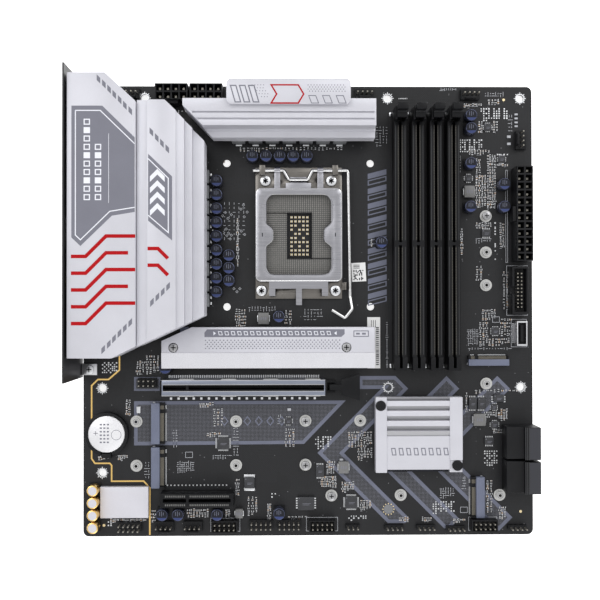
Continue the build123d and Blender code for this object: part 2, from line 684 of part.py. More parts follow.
plate_h = (load_plate_low, load_plate_low + load_plate_sheet)
plate_front_v = socket_v + load_plate_front
plate_rear_v = socket_v - load_plate_rear
tongue_h = (hinge_height - lever_radius - 0.4 - load_plate_sheet, hinge_height - lever_radius - 0.4)
with BuildPart() as load_plate:
    slab(centred(socket_u, 2 * load_plate_half_u), (plate_rear_v, plate_front_v), plate_h)
    fillet(load_plate.edges().filter_by(Axis.Z), radius=3.0)
    with BuildSketch(level(load_plate_low)) as opening:
        with Locations(plan(socket_u, socket_v + 0.4)):
            RectangleRounded(load_opening_u, load_opening_v, load_opening_radius)
    extrude(opening.sketch, amount=load_plate_sheet, mode=Mode.SUBTRACT)
    ear_reach = load_opening_u / 2 - 0.6
    blocks([(socket_u - ear_reach, socket_v), (socket_u + ear_reach, socket_v)], 3.6, 6.4, plate_h)
    for middle in (socket_u - 14.4, socket_u + 14.0):
        slab(centred(middle, 3.4), (plate_front_v - 1, 114.1), plate_h)
    slab((socket_u - 16.1, socket_u + 15.7), (plate_front_v - 1, 110.2), plate_h)
    slab(centred(socket_u, 3.2), (plate_front_v - 1, 119.0), plate_h)
    for middle in knuckle_u:
        slab(centred(middle, knuckle_length), (hinge_v + 1.6, plate_rear_v + 1), plate_h)
        with Locations(Location(spot(middle, hinge_v, hinge_height), (0, 90, 0))):
            Cylinder(knuckle_radius, knuckle_length)
            Cylinder(lever_radius + pin_clearance, knuckle_length, mode=Mode.SUBTRACT)
    slab((socket_u - 7.0, socket_u + 6.6), (hinge_v + 6.9, plate_rear_v + 1), plate_h)
    slab((socket_u - 4.6, socket_u + 4.2), (hinge_v + 6.9, hinge_v + 6.9 + load_plate_sheet),
         (tongue_h[0], plate_h[1]))
    slab((socket_u - 4.6, socket_u + 4.2), (hinge_v + 3.4, hinge_v + 6.9 + load_plate_sheet), tongue_h)
save(load_plate.part, "load_plate")

with BuildPart() as socket_lever:
    with BuildLine() as wire:
        FilletPolyline(
            spot(lever_shaft_u[0], hinge_v, hinge_height),
            spot(socket_u + crank_ends[0], hinge_v, hinge_height),
            spot(socket_u + crank_span[0], hinge_v + crank_throw, hinge_height),
            spot(socket_u + crank_span[1], hinge_v + crank_throw, hinge_height),
            spot(socket_u + crank_ends[1], hinge_v, hinge_height),
            spot(lever_shaft_u[1], hinge_v, hinge_height),
            spot(lever_shaft_u[1] + 1.0, lever_arm_v, hinge_height),
            spot(*lever_grip[0], hinge_height + lever_grip_rise),
            spot(*lever_grip[1], hinge_height + lever_grip_rise),
            spot(*lever_grip[2], hinge_height + lever_grip_rise),
            radius=1.3)
    with BuildSketch(Plane(origin=wire.line @ 0, z_dir=wire.line % 0)):
        Circle(lever_radius)
    sweep()
save(socket_lever.part, "socket_lever")

plate_low = underside - backplate_thickness
with BuildPart() as socket_backplate:
    slab(centred(socket_u, 2 * frame_half_u - 2), (socket_v - frame_rear + 1, socket_v + frame_front - 1),
         (plate_low, underside))
    fillet(socket_backplate.edges().filter_by(Axis.Z), radius=4.0)
    with BuildSketch(level(plate_low)) as clearing:
        with Locations(plan(socket_u, socket_v)):
            RectangleRounded(20.0, 32.0, 3.0)
    extrude(clearing.sketch, amount=backplate_thickness, mode=Mode.SUBTRACT)
    posts(frame_screw_spots, frame_screw_head + 0.4, (floor_h, plate_low))
    posts(frame_screw_spots, frame_screw_radius + thread_gap, (floor_h, underside), Mode.SUBTRACT)
save(socket_backplate.part, "socket_backplate")

with BuildPart() as socket_screws:
    posts(frame_screw_spots, frame_screw_head, (frame_low + frame_sheet, frame_low + frame_sheet + 1.7))
    posts(frame_screw_spots, frame_screw_radius, (floor_h + 0.4, frame_low + frame_sheet))
save(socket_screws.part, "socket_screws")

# ---------------------------------------------------------------- memory slots and latches
tower_v = (tower_top_v, slot_v[0])
foot_v = (slot_v[1], tower_foot_v)
foot_height = 14.0
latch_gap = slot_width - 2 * tower_cheek
latch_head_low = tower_height + 0.9
for number in range(slot_count):
    slot_u = first_slot_u + slot_pitch * number
    with BuildPart() as dimm_slot:
        slab(centred(slot_u, slot_width), (slot_v[0], slot_v[1]), (0, slot_height))
        slab(centred(slot_u, slot_width), tower_v, (0, tower_height))
        slab(centred(slot_u, slot_width), foot_v, (0, foot_height))
        slab(centred(slot_u, latch_gap), tower_v, (1.4, tower_height), Mode.SUBTRACT)
        slab(centred(slot_u, slot_groove), (tower_v[0], foot_v[1] - 1.2),
             (slot_height - slot_groove_depth, tower_height), Mode.SUBTRACT)
        slab(centred(slot_u, slot_groove), centred(slot_key_v, slot_key_length),
             (slot_height - slot_groove_depth, slot_height))
        with Locations(Location(spot(slot_u, latch_pivot_v, latch_pivot_h), (0, 90, 0))):
            Cylinder(latch_pin_radius + pin_clearance, slot_width, mode=Mode.SUBTRACT)
    save(dimm_slot.part, f"dimm_slot_{number + 1}")

    with BuildPart() as dimm_latch:
        slab(centred(slot_u, latch_thickness), (latch_pivot_v - 1.6, latch_pivot_v + 1.2),
             (latch_pivot_h - 1.2, latch_head_low + 1.0))
        slab(centred(slot_u, latch_thickness), (latch_pivot_v, latch_pivot_v + 2.1),
             (latch_pivot_h - 1.6, latch_pivot_h + 0.6))
        slab(centred(slot_u, latch_head_width), (tower_top_v - 0.3, tower_top_v + 6.4),
             (latch_head_low, latch_head_low + 2.4))
        slab(centred(slot_u, latch_head_width), (tower_top_v - 0.3, tower_top_v + 3.0),
             (latch_head_low + 2.4, latch_head_top))
        with Locations(Location(spot(slot_u, latch_pivot_v, latch_pivot_h), (0, 90, 0))):
            Cylinder(latch_pin_radius, slot_width - 0.6)
    save(dimm_latch.part, f"dimm_latch_{number + 1}")

# ---------------------------------------------------------------- expansion slots
ear_gap = paddle_stem + 2 * part_gap
ear_thickness = 1.6
ear_margin = 1.8               # plastic round the latch's pin


def express_body(length, middle_v):
    """One expansion slot's housing, with its groove and key."""
    span = (express_u, express_u + length)
    slab(span, centred(middle_v, express_width), (0, express_height))
    slab(around(span, -1.6), centred(middle_v, express_groove),
         (express_height - express_groove_depth, express_height), Mode.SUBTRACT)
    slab(centred(express_u + express_key, 1.4), centred(middle_v, express_groove),
         (express_height - express_groove_depth, express_height))


long_slot_end = express_u + long_slot_length
with BuildPart() as long_slot:
    express_body(long_slot_length, long_slot_v)
    for side in (-1, 1):
        ear_v = long_slot_v + side * (ear_gap + ear_thickness) / 2
        slab((long_slot_end, paddle_pivot_u + ear_margin), centred(ear_v, ear_thickness),
             (0, paddle_pivot_h + ear_margin))
    with Locations(Location(spot(paddle_pivot_u, long_slot_v, paddle_pivot_h), (90, 0, 0))):
        Cylinder(latch_pin_radius + pin_clearance, express_width, mode=Mode.SUBTRACT)
save(long_slot.part, "long_expansion_slot")

with BuildPart() as slot_armor:
    inner = express_width + 2 * seat_gap
    armor_span = (express_u + 1.0, long_slot_end - 1.0)
    armor_low = 0.6
    slab(armor_span, centred(long_slot_v, inner + 2 * armor_sheet),
         (armor_low, express_height + armor_sheet))
    slab(armor_span, centred(long_slot_v, inner), (armor_low, express_height), Mode.SUBTRACT)
    slab(around(armor_span, -0.6), centred(long_slot_v, express_groove + 1.4),
         (express_height, express_height + armor_sheet), Mode.SUBTRACT)
save(slot_armor.part, "slot_armor")

with BuildPart() as slot_latch:
    slab((paddle_pivot_u - 1.4, paddle_pivot_u + 1.4), centred(long_slot_v, paddle_stem),
         (paddle_pivot_h - 1.4, paddle_low + 0.6))
    slab((paddle_pivot_u - 1.4, paddle_u[0] + 1.0), centred(long_slot_v, paddle_stem),
         (paddle_low - 1.4, paddle_high))
    outline([(paddle_u[0], long_slot_v - 4.0), (paddle_u[1], long_slot_v - paddle_width / 2),
             (paddle_u[1], long_slot_v + paddle_width / 2), (paddle_u[0], long_slot_v + 4.0)],
            (paddle_low, paddle_high))
    with Locations(Location(spot(paddle_pivot_u, long_slot_v, paddle_pivot_h), (90, 0, 0))):
        Cylinder(latch_pin_radius, ear_gap + 2 * ear_thickness - 0.4)
save(slot_latch.part, "slot_latch")

with BuildPart() as short_slot:
    express_body(short_slot_length, short_slot_v)
save(short_slot.part, "short_expansion_slot")

# ---------------------------------------------------------------- M.2 sockets, standoffs and heatsink
m2_mouth_h = (1.9, 2.9)
m2_mouth_depth = 5.4
with BuildPart() as m2_sockets:
    blocks(m2_left_sockets, m2_depth, m2_length, (0, m2_height))
    for u, v in m2_left_sockets:
        slab((u + m2_depth / 2 - m2_mouth_depth, u + m2_depth / 2), centred(v, m2_length - 1.6), m2_mouth_h,
             Mode.SUBTRACT)
    blocks([m2_side_socket], m2_length, m2_depth - 2.0, (0, m2_height))
    slab(centred(m2_side_socket[0], m2_length - 1.6),
         (m2_side_socket[1] - m2_depth / 2 + 1.0, m2_side_socket[1] + 1.6), m2_mouth_h, Mode.SUBTRACT)
    blocks([m2_foot_socket], m2_depth, m2_length, (0, m2_height))
    slab((m2_foot_socket[0] - m2_depth / 2, m2_foot_socket[0] - m2_depth / 2 + m2_mouth_depth),
         centred(m2_foot_socket[1], m2_length - 1.6), m2_mouth_h, Mode.SUBTRACT)
save(m2_sockets.part, "m2_sockets")

with BuildPart() as m2_standoffs:
    posts(m2_open_standoffs + m2_used_standoffs, m2_pad_radius, (0, 0.6))
    posts(m2_open_standoffs + m2_used_standoffs, m2_standoff_radius, (0.6, m2_standoff_height))
    posts(m2_open_standoffs + m2_used_standoffs, m2_thread_radius, (0, m2_standoff_height), Mode.SUBTRACT)
    posts(m2_sink_screws, m2_standoff_radius, (0, m2_sink_low))
    posts(m2_sink_screws, m2_thread_radius, (0, m2_sink_low), Mode.SUBTRACT)
save(m2_standoffs.part, "m2_standoffs")

with BuildPart() as m2_screws:
    posts(m2_used_standoffs, m2_screw_head_radius, (m2_standoff_height, m2_standoff_height + 1.0))
    posts(m2_used_standoffs, m2_thread_radius - thread_gap, (0.4, m2_standoff_height))
    posts(m2_sink_screws, m2_screw_head_radius, (m2_sink_top - m2_screw_sink, m2_sink_top - 0.4))
    posts(m2_sink_screws, m2_thread_radius - thread_gap, (m2_sink_low - 3.0, m2_sink_top - m2_screw_sink))
save(m2_screws.part, "m2_screws")

m2_sink_corners = [(m2_sink_u[0], m2_sink_v[0] + m2_sink_cut[1]),
                   (m2_sink_u[0] + m2_sink_cut[0], m2_sink_v[0]),
                   (m2_sink_u[1], m2_sink_v[0]), (m2_sink_u[1], m2_sink_v[1]), (m2_sink_u[0], m2_sink_v[1])]
with BuildPart() as m2_heatsink:
    outline(m2_sink_corners, (m2_sink_low, m2_sink_top))
    chamfer(m2_heatsink.faces().sort_by(Axis.Z)[-1].edges(), length=0.6)
    posts(m2_sink_screws, 2.6, (m2_sink_top - m2_screw_sink, m2_sink_top), Mode.SUBTRACT)
    posts(m2_sink_screws, m2_thread_radius + screw_clearance, (m2_sink_low, m2_sink_top), Mode.SUBTRACT)
    posts([hidden_cap], cap_radius + part_gap, (m2_sink_low, cap_height + part_gap), Mode.SUBTRACT)
save(m2_heatsink.part, "m2_heatsink")

with BuildPart() as m2_pad:
    slab((66.0, 136.0), centred(141.6, 19.0), (m2_sink_low - 0.9, m2_sink_low))
save(m2_pad.part, "m2_pad")

# ---------------------------------------------------------------- chipset
chip_middle = (sum(chip_sink_u) / 2, sum(chip_sink_v) / 2)
chip_fins_u = (163.5, 197.1)
chip_groove_starts = [173.0, 178.35, 183.7]
chip_groove_width = 2.5
chip_slope_v = (186.5, 189.1)  # last slope, down to the plain block
chip_block_drop = 0.6          # the plain block lies under the side strips
chip_block_foot = 207.0
with BuildPart() as chipset:
    blocks([chip_middle], chip_package, chip_package, (0, chip_package_height))
save(chipset.part, "chipset")

with BuildPart() as chipset_pad:
    blocks([chip_middle], 14.0, 14.0, (chip_package_height, chip_sink_low))
save(chipset_pad.part, "chipset_pad")

with BuildPart() as chipset_heatsink:
    slab(chip_sink_u, chip_sink_v, (chip_sink_low, chip_sink_top))
    for start in chip_groove_starts:
        slab(chip_fins_u, (start, start + chip_groove_width), (chip_sink_base, chip_sink_top), Mode.SUBTRACT)
    slab(chip_fins_u, (chip_slope_v[0], chip_sink_v[1]), (chip_sink_top - chip_block_drop, chip_sink_top),
         Mode.SUBTRACT)
    slab(chip_fins_u, (chip_block_foot, chip_sink_v[1]), (chip_sink_base, chip_sink_top), Mode.SUBTRACT)
    blocks(push_pins, 6.4, 6.4, (chip_sink_base - 1.0, chip_sink_top), Mode.SUBTRACT)
    posts(push_pins, push_pin_shank + screw_clearance, (chip_sink_low, chip_sink_base), Mode.SUBTRACT)
save(chipset_heatsink.part, "chipset_heatsink")

with BuildPart() as chipset_push_pins:
    posts(push_pins, push_pin_head, (chip_sink_base - 1.0, chip_sink_base + 1.8))
    posts(push_pins, push_pin_shank, (underside - 1.2, chip_sink_base - 1.0))
    posts(push_pins, push_pin_shank + 0.6, (underside - 1.4, underside - 0.4))
save(chipset_push_pins.part, "chipset_push_pins")

# ---------------------------------------------------------------- power connectors
power_floor = 2.6
power_latch_h = (2.0, power_height - 2.4)
power_pin_slot = power_pin_side + 2 * seat_gap
with BuildPart() as main_power_socket:
    inner_u = main_power_u - power_pitch - power_margin
    slab((inner_u, main_power_u + power_margin),
         (main_power_rows[0] - power_margin, main_power_rows[-1] + power_margin), (0, power_height))
    slab((inner_u - power_latch_depth, inner_u), centred(sum(main_power_rows) / 12, 8.0), power_latch_h)
    blocks(main_power_pins, power_cell, power_cell, (power_floor, power_height), Mode.SUBTRACT)
    blocks(main_power_pins, power_pin_slot, power_pin_slot, (0, power_floor), Mode.SUBTRACT)
save(main_power_socket.part, "main_power_socket")

with BuildPart() as cpu_power_sockets:
    for start in cpu_power_u:
        inner_v = cpu_power_v + power_pitch + power_margin
        slab((start - power_margin - 0.2, start + 3 * power_pitch + power_margin + 0.2),
             (cpu_power_v - power_margin, inner_v), (0, power_height))
        slab(centred(start + 1.5 * power_pitch, 7.0), (inner_v, inner_v + power_latch_depth), power_latch_h)
    blocks(cpu_power_pins, power_cell, power_cell, (power_floor, power_height), Mode.SUBTRACT)
    blocks(cpu_power_pins, power_pin_slot, power_pin_slot, (0, power_floor), Mode.SUBTRACT)
save(cpu_power_sockets.part, "cpu_power_sockets")

with BuildPart() as power_pins:
    blocks(main_power_pins + cpu_power_pins, power_pin_side, power_pin_side, (tail_low, power_pin_height))
save(power_pins.part, "power_pins")

# ---------------------------------------------------------------- drive ports
drive_front_u = board_length + front_overhang
drive_back_u = drive_front_u - drive_port_depth
drive_mouth_width = 12.4
drive_mouth_height = 4.2
drive_mouth_depth = 8.0
drive_mouth_lows = [1.6, 9.2]
drive_collar_depth = 8.2
drive_tongue_setback = 1.2
drive_tongue_thickness = 1.2
with BuildPart() as drive_ports:
    for span in drive_port_v:
        middle_v = sum(span) / 2
        slab((drive_back_u, drive_front_u), span, (0, drive_port_back_height))
        slab((drive_front_u - drive_collar_depth, drive_front_u), span, (0, drive_port_height))
        mouth_back = drive_front_u - drive_mouth_depth
        for low in drive_mouth_lows:
            slab((mouth_back, drive_front_u), centred(middle_v, drive_mouth_width),
                 (low, low + drive_mouth_height), Mode.SUBTRACT)
            slab((mouth_back, drive_front_u - drive_tongue_setback),
                 centred(middle_v, drive_mouth_width - 2.0),
                 centred(low + drive_mouth_height / 2, drive_tongue_thickness))
save(drive_ports.part, "drive_ports")

# ---------------------------------------------------------------- front panel connectors
usb_wall = 1.2
header_pin_slot = header_pin_side + 2 * seat_gap
shroud_wall = 0.7
shroud_height = 6.4
with BuildPart() as usb_header:
    slab(usb_header_u, usb_header_v, (0, usb_header_height))
    slab(around(usb_header_u, -usb_wall), around(usb_header_v, -usb_wall), (header_base, usb_header_height),
         Mode.SUBTRACT)
    slab((usb_header_u[0], usb_header_u[0] + usb_wall), centred(sum(usb_header_v) / 2, 4.2),
         (header_base, usb_header_height), Mode.SUBTRACT)
    blocks(usb_pins, header_pin_slot, header_pin_slot, (0, header_base), Mode.SUBTRACT)
save(usb_header.part, "usb_header")

c_header_u = (board_length - c_header_inset[1], board_length - c_header_inset[0])
with BuildPart() as usb_c_header:
    slab(c_header_u, c_header_v, (0, c_header_height))
    slab(around(c_header_u, -0.6), around(c_header_v, -0.6), (1.6, c_header_height), Mode.SUBTRACT)
    slab(centred(sum(c_header_u) / 2, 1.0), around(c_header_v, -2.2), (1.6, c_header_height - 1.0))
save(usb_c_header.part, "usb_c_header")

with BuildPart() as pin_headers:
    for middle_u, middle_v, columns, rows, shrouded in board_headers:
        length = columns * header_pitch
        width = rows * header_pitch
        if shrouded:
            blocks([(middle_u, middle_v)], length + 2 * shroud_wall, width + 2 * shroud_wall,
                   (0, shroud_height))
            blocks([(middle_u, middle_v)], length, width, (header_base, shroud_height), Mode.SUBTRACT)
        else:
            blocks([(middle_u, middle_v)], length, width, (0, header_base))
        blocks(header_pins_at(middle_u, middle_v, columns, rows), header_pin_slot, header_pin_slot,
               (0, header_base), Mode.SUBTRACT)
save(pin_headers.part, "pin_headers")

with BuildPart() as fan_sockets:
    for middle_u, middle_v, along in fan_headers:
        length = fan_header_length if along else fan_header_depth
        width = fan_header_depth if along else fan_header_length
        blocks([(middle_u, middle_v)], length, width, (0, header_base))
        wall_shift = (fan_header_depth - fan_wall_sheet) / 2
        wall_u = middle_u if along else middle_u - wall_shift
        wall_v = middle_v + wall_shift if along else middle_v
        wall_length = fan_wall_length if along else fan_wall_sheet
        wall_width = fan_wall_sheet if along else fan_wall_length
        blocks([(wall_u, wall_v)], wall_length, wall_width, (header_base, fan_wall_height))
        blocks(header_pins_at(middle_u, middle_v, 4 if along else 1, 1 if along else 4),
               header_pin_slot, header_pin_slot, (0, header_base), Mode.SUBTRACT)
save(fan_sockets.part, "fan_sockets")

with BuildPart() as header_pin_set:
    blocks(header_pins, header_pin_side, header_pin_side, (header_tail_low, header_pin_height))
    blocks(usb_pins, header_pin_side, header_pin_side, (header_tail_low, usb_header_height - 1.6))
save(header_pin_set.part, "header_pins")

# ---------------------------------------------------------------- battery and audio
with BuildPart() as battery_holder:
    posts([battery_spot], holder_radius, (0, holder_height))
    posts([battery_spot], cell_radius + seat_gap, (holder_floor, holder_height), Mode.SUBTRACT)
    holder_foot_v = battery_spot[1] + holder_radius
    slab(centred(battery_spot[0], 6.0), (battery_spot[1], holder_foot_v + 1.0), (holder_floor, holder_height),
         Mode.SUBTRACT)
    slab(centred(battery_spot[0], 5.0), (battery_spot[1] + cell_radius + 0.4, holder_foot_v + 1.2),
         (0, holder_height))
save(battery_holder.part, "battery_holder")

with BuildPart() as battery_cell:
    posts([battery_spot], cell_radius, (holder_floor, holder_floor + cell_thickness))
    chamfer(battery_cell.edges().group_by(Axis.Z)[-1], length=0.4)
save(battery_cell.part, "battery_cell")

with BuildPart() as audio_capacitors:
    posts([(audio_cap_u, v) for v in audio_cap_v], audio_cap_radius, (1.0, audio_cap_height))
    blocks([(audio_cap_u, v) for v in audio_cap_v], 2 * audio_cap_radius, 2 * audio_cap_radius, (0, 1.0))
save(audio_capacitors.part, "audio_capacitors")

with BuildPart() as audio_shield:
    slab(audio_shield_u, audio_shield_v, (0, audio_shield_height))
    slab(around(audio_shield_u, -audio_shield_sheet), around(audio_shield_v, -audio_shield_sheet),
         (0, audio_shield_height - audio_shield_sheet), Mode.SUBTRACT)
save(audio_shield.part, "audio_shield")

# ---------------------------------------------------------------- capacitors, inductors and chips
with BuildPart() as capacitor_set:
    blocks(capacitors, 2 * cap_radius, 2 * cap_radius, (0, cap_base_height))
    posts(capacitors, cap_radius, (cap_base_height, cap_height))
save(capacitor_set.part, "capacitors")

with BuildPart() as inductor_set:
    for u, v, length, width in inductors:
        blocks([(u, v)], length, width, (0, inductor_height))
save(inductor_set.part, "inductors")

with BuildPart() as chips:
    for u, v, length, width, height in flat_chips:
        blocks([(u, v)], length, width, (0, height))
save(chips.part, "chips")
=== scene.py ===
import math
import random

import bmesh
import bpy
from mathutils import Matrix, Vector


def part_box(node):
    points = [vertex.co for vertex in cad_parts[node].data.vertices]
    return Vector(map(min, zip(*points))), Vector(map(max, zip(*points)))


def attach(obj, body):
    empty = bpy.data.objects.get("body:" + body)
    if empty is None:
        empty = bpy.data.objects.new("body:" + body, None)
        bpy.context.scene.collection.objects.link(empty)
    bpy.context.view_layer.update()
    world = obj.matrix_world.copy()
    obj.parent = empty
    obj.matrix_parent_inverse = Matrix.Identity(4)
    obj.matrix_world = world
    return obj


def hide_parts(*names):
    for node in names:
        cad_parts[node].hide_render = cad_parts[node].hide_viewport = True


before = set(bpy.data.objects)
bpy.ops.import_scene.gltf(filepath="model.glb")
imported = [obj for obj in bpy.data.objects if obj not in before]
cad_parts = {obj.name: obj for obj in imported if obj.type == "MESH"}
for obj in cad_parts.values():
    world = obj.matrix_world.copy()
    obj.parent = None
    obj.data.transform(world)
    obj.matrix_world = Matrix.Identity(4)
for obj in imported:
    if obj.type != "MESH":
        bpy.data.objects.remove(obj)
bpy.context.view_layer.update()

mm = 0.001
boardLow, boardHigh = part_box("pcb")
deck = boardHigh.z        # component face
solderSide = -1.57        # h of the solder face, mm
rearX = boardLow.x
topY = boardHigh.y


def at(u, v, h=0.0):
    # u mm from the rear edge, v mm from the top edge, h mm over the component face
    return Vector((rearX + u * mm, topY - v * mm, deck + h * mm))


def addBox(bm, u, v, h, mat=0, bevel=0.0, segments=2):
    # u, v and h are (from, to) spans in mm
    low, high = at(min(u), max(v), min(h)), at(max(u), min(v), max(h))
    size = high - low
    place = Matrix.Translation((low + high) / 2) @ Matrix.Diagonal((*size, 1))
    made = bmesh.ops.create_cube(bm, size=1.0, matrix=place)
    faces = {f for vert in made["verts"] for f in vert.link_faces}
    for f in faces:
        f.material_index = mat
    if bevel:
        edges = {e for vert in made["verts"] for e in vert.link_edges}
        bmesh.ops.bevel(bm, geom=list(edges), offset=bevel * mm, segments=segments, affect="EDGES",
                        profile=0.5, material=-1)


def addBlock(bm, middle, size, low, high, mat=0, bevel=0.0):
    # a box by its middle (u, v) and size in mm
    addBox(bm, (middle[0] - size[0] / 2, middle[0] + size[0] / 2),
           (middle[1] - size[1] / 2, middle[1] + size[1] / 2), (low, high), mat, bevel)


def addPost(bm, middle, radius, low, high, mat=0, segments=24, topRadius=None, bevel=0.0):
    top = radius if topRadius is None else topRadius
    place = Matrix.Translation(at(*middle, (low + high) / 2))
    made = bmesh.ops.create_cone(bm, cap_ends=True, segments=segments, radius1=radius * mm,
                                 radius2=top * mm, depth=(high - low) * mm, matrix=place)
    faces = {f for vert in made["verts"] for f in vert.link_faces}
    for f in faces:
        f.material_index = mat
    if bevel:
        rim = [e for vert in made["verts"] for e in vert.link_edges
               if all(abs(x.co.z - at(0, 0, high).z) < 1e-7 for x in e.verts)]
        bmesh.ops.bevel(bm, geom=list(set(rim)), offset=bevel * mm, segments=2, affect="EDGES",
                        profile=0.5, material=-1)


def addPrism(bm, points, low, high, mat=0, bevel=0.0):
    # an upright prism over a list of (u, v) points
    verts = [bm.verts.new(at(u, v, low)) for u, v in points]
    base = bm.faces.new(verts)
    base.normal_update()
    if base.normal.z > 0:
        base.normal_flip()
    grown = bmesh.ops.extrude_face_region(bm, geom=[base], use_keep_orig=True)
    top = [g for g in grown["geom"] if isinstance(g, bmesh.types.BMVert)]
    bmesh.ops.translate(bm, verts=top, vec=(0, 0, (high - low) * mm))
    faces = {f for vert in top for f in vert.link_faces} | {base}
    for f in faces:
        f.material_index = mat
    if bevel:
        rim = [g for g in grown["geom"] if isinstance(g, bmesh.types.BMEdge)]
        bmesh.ops.bevel(bm, geom=rim, offset=bevel * mm, segments=2, affect="EDGES", profile=0.5,
                        material=-1)


def addStroke(bm, points, width, low, high, mat=0, closed=False):
    # a flat line of one width through (u, v) points, with mitred corners
    count = len(points)
    left, right = [], []
    for i, point in enumerate(points):
        here = Vector(point)
        before = Vector(points[(i - 1) % count]) if closed or i else here
        after = Vector(points[(i + 1) % count]) if closed or i < count - 1 else here
        first = (here - before).normalized() if (here - before).length else (after - here).normalized()
        second = (after - here).normalized() if (after - here).length else first
        side = (Vector((-first.y, first.x)) + Vector((-second.y, second.x)))
        side = side.normalized() if side.length > 1e-6 else Vector((-first.y, first.x))
        reach = width / 2 / max(0.35, side.dot(Vector((-first.y, first.x))))
        left.append(here + side * reach)
        right.append(here - side * reach)
    last = count if closed else count - 1
    for i in range(last):
        j = (i + 1) % count
        addPrism(bm, [left[i], left[j], right[j], right[i]], low, high, mat)


def rect(u0, v0, u1, v1):
    return [(u0, v0), (u1, v0), (u1, v1), (u0, v1)]


def lozenge(u, v, reach):
    return [(u - reach, v), (u, v - reach), (u + reach, v), (u, v + reach)]


def slanted(u, v, wide, tall, lean):
    # a parallelogram whose lower end is moved sideways
    return [(u, v), (u + wide, v), (u + wide + lean, v + tall), (u + lean, v + tall)]


def circle(u, v, radius, count):
    return [(u + radius * math.cos(2 * math.pi * k / count), v + radius * math.sin(2 * math.pi * k / count))
            for k in range(count)]


def centred(count, pitch):
    # offsets of a centred row
    return [(k - (count - 1) / 2) * pitch for k in range(count)]


def addCross(bm, place, length, width, low, high, mat):
    addBlock(bm, place, (length, width), low, high, mat)
    addBlock(bm, place, (width, length), low, high, mat)


def addRing(bm, middle, inner, outer, count, low, high, mat):
    # a flat ring of short quads
    for k in range(count):
        a, b = 2 * math.pi * k / count, 2 * math.pi * (k + 1) / count
        quad = [(middle[0] + math.cos(t) * r, middle[1] + math.sin(t) * r) for t, r in
                ((a, inner), (b, inner), (b, outer), (a, outer))]
        addPrism(bm, quad, low, high, mat)


def makePrint(bm, name, finishes):
    # flat or blocky detail that needs no merging and no smooth shading
    makePiece(bm, name, finishes, merge=False, smooth=False)


def makePiece(bm, name, finishes, body="board", stands=(), merge=True, smooth=True):
    if merge:
        bmesh.ops.remove_doubles(bm, verts=bm.verts, dist=1e-7)
    mesh = bpy.data.meshes.new(name)
    bm.to_mesh(mesh)
    bm.free()
    piece = bpy.data.objects.new(name, mesh)
    bpy.context.scene.collection.objects.link(piece)
    for finish in finishes:
        mesh.materials.append(finish)
    if smooth:
        mesh.shade_smooth()
        mesh.set_sharp_from_angle(angle=math.radians(32))
    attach(piece, body)
    if stands:
        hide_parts(*stands)
    return piece


def softened(node, width, finishes, body="board", segments=2, name=None, angle=30):
    # the CAD shape with its edges rounded
    bm = bmesh.new()
    bm.from_mesh(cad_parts[node].data)
    bmesh.ops.remove_doubles(bm, verts=bm.verts, dist=1e-6)
    bmesh.ops.dissolve_limit(bm, angle_limit=math.radians(1), verts=bm.verts, edges=bm.edges)
    for f in bm.faces:
        f.material_index = 0
    sharp = [e for e in bm.edges if e.is_manifold and e.calc_face_angle(0) > math.radians(angle)]
    bmesh.ops.bevel(bm, geom=sharp, offset=width * mm, offset_type="OFFSET", segments=segments,
                    affect="EDGES", profile=0.5, material=-1, clamp_overlap=True)
    return makePiece(bm, name or node + "_shell", finishes, body, (node,))


def shade(colour, factor):
    return tuple(min(1.0, c * factor) for c in colour)


def feed(tree, socket, value):
    # a link, a colour or a plain number into a socket
    if isinstance(value, Field):
        tree.links.new(value.socket, socket)
    else:
        socket.default_value = (*value, 1) if isinstance(value, tuple) else value


def addNode(tree, kind, **inputs):
    node = tree.nodes.new(kind)
    for key, value in inputs.items():
        if key in node.inputs:
            node.inputs[key].default_value = value
        else:
            setattr(node, key, value)
    return node


class Field:
    # a value in a node tree that can be added, multiplied and compared
    def __init__(self, tree, socket):
        self.tree = tree
        self.socket = socket

    def calc(self, operation, other=0.0):
        node = addNode(self.tree, "ShaderNodeMath", operation=operation)
        feed(self.tree, node.inputs[0], self)
        feed(self.tree, node.inputs[1], other)
        return Field(self.tree, node.outputs[0])

    def __add__(self, other):
        return self.calc("ADD", other)

    def __sub__(self, other):
        return self.calc("SUBTRACT", other)

    def __mul__(self, other):
        return self.calc("MULTIPLY", other)

    def __gt__(self, other):
        return self.calc("GREATER_THAN", other)

    def __lt__(self, other):
        return self.calc("LESS_THAN", other)


def startFinish(name):
    finish = bpy.data.materials.new(name)
    finish.use_nodes = True
    return finish, finish.node_tree, finish.node_tree.nodes["Principled BSDF"]


def objectPlace(tree, stretch=(1, 1, 1)):
    mapping = addNode(tree, "ShaderNodeMapping", Scale=stretch)
    tree.links.new(addNode(tree, "ShaderNodeTexCoord").outputs["Object"], mapping.inputs["Vector"])
    return mapping.outputs["Vector"]


def axesOf(tree, place):
    axes = addNode(tree, "ShaderNodeSeparateXYZ")
    tree.links.new(place, axes.inputs["Vector"])
    return Field(tree, axes.outputs["X"]), Field(tree, axes.outputs["Y"])


def waveOf(value, pitch):
    return (value * (2 * math.pi / pitch)).calc("SINE")


def noiseOf(tree, place, scale, detail=3.0):
    noise = addNode(tree, "ShaderNodeTexNoise", Scale=scale, Detail=detail, Roughness=0.55)
    tree.links.new(place, noise.inputs["Vector"])
    return Field(tree, noise.outputs["Fac"])


def cellsOf(tree, place, **settings):
    # scattered cells: a random number for each, a second one, and the distance to its middle
    cells = addNode(tree, "ShaderNodeTexVoronoi", **settings)
    tree.links.new(place, cells.inputs["Vector"])
    pick = addNode(tree, "ShaderNodeSeparateColor")
    tree.links.new(cells.outputs["Color"], pick.inputs["Color"])
    return Field(tree, pick.outputs[0]), Field(tree, pick.outputs[1]), Field(tree, cells.outputs["Distance"])


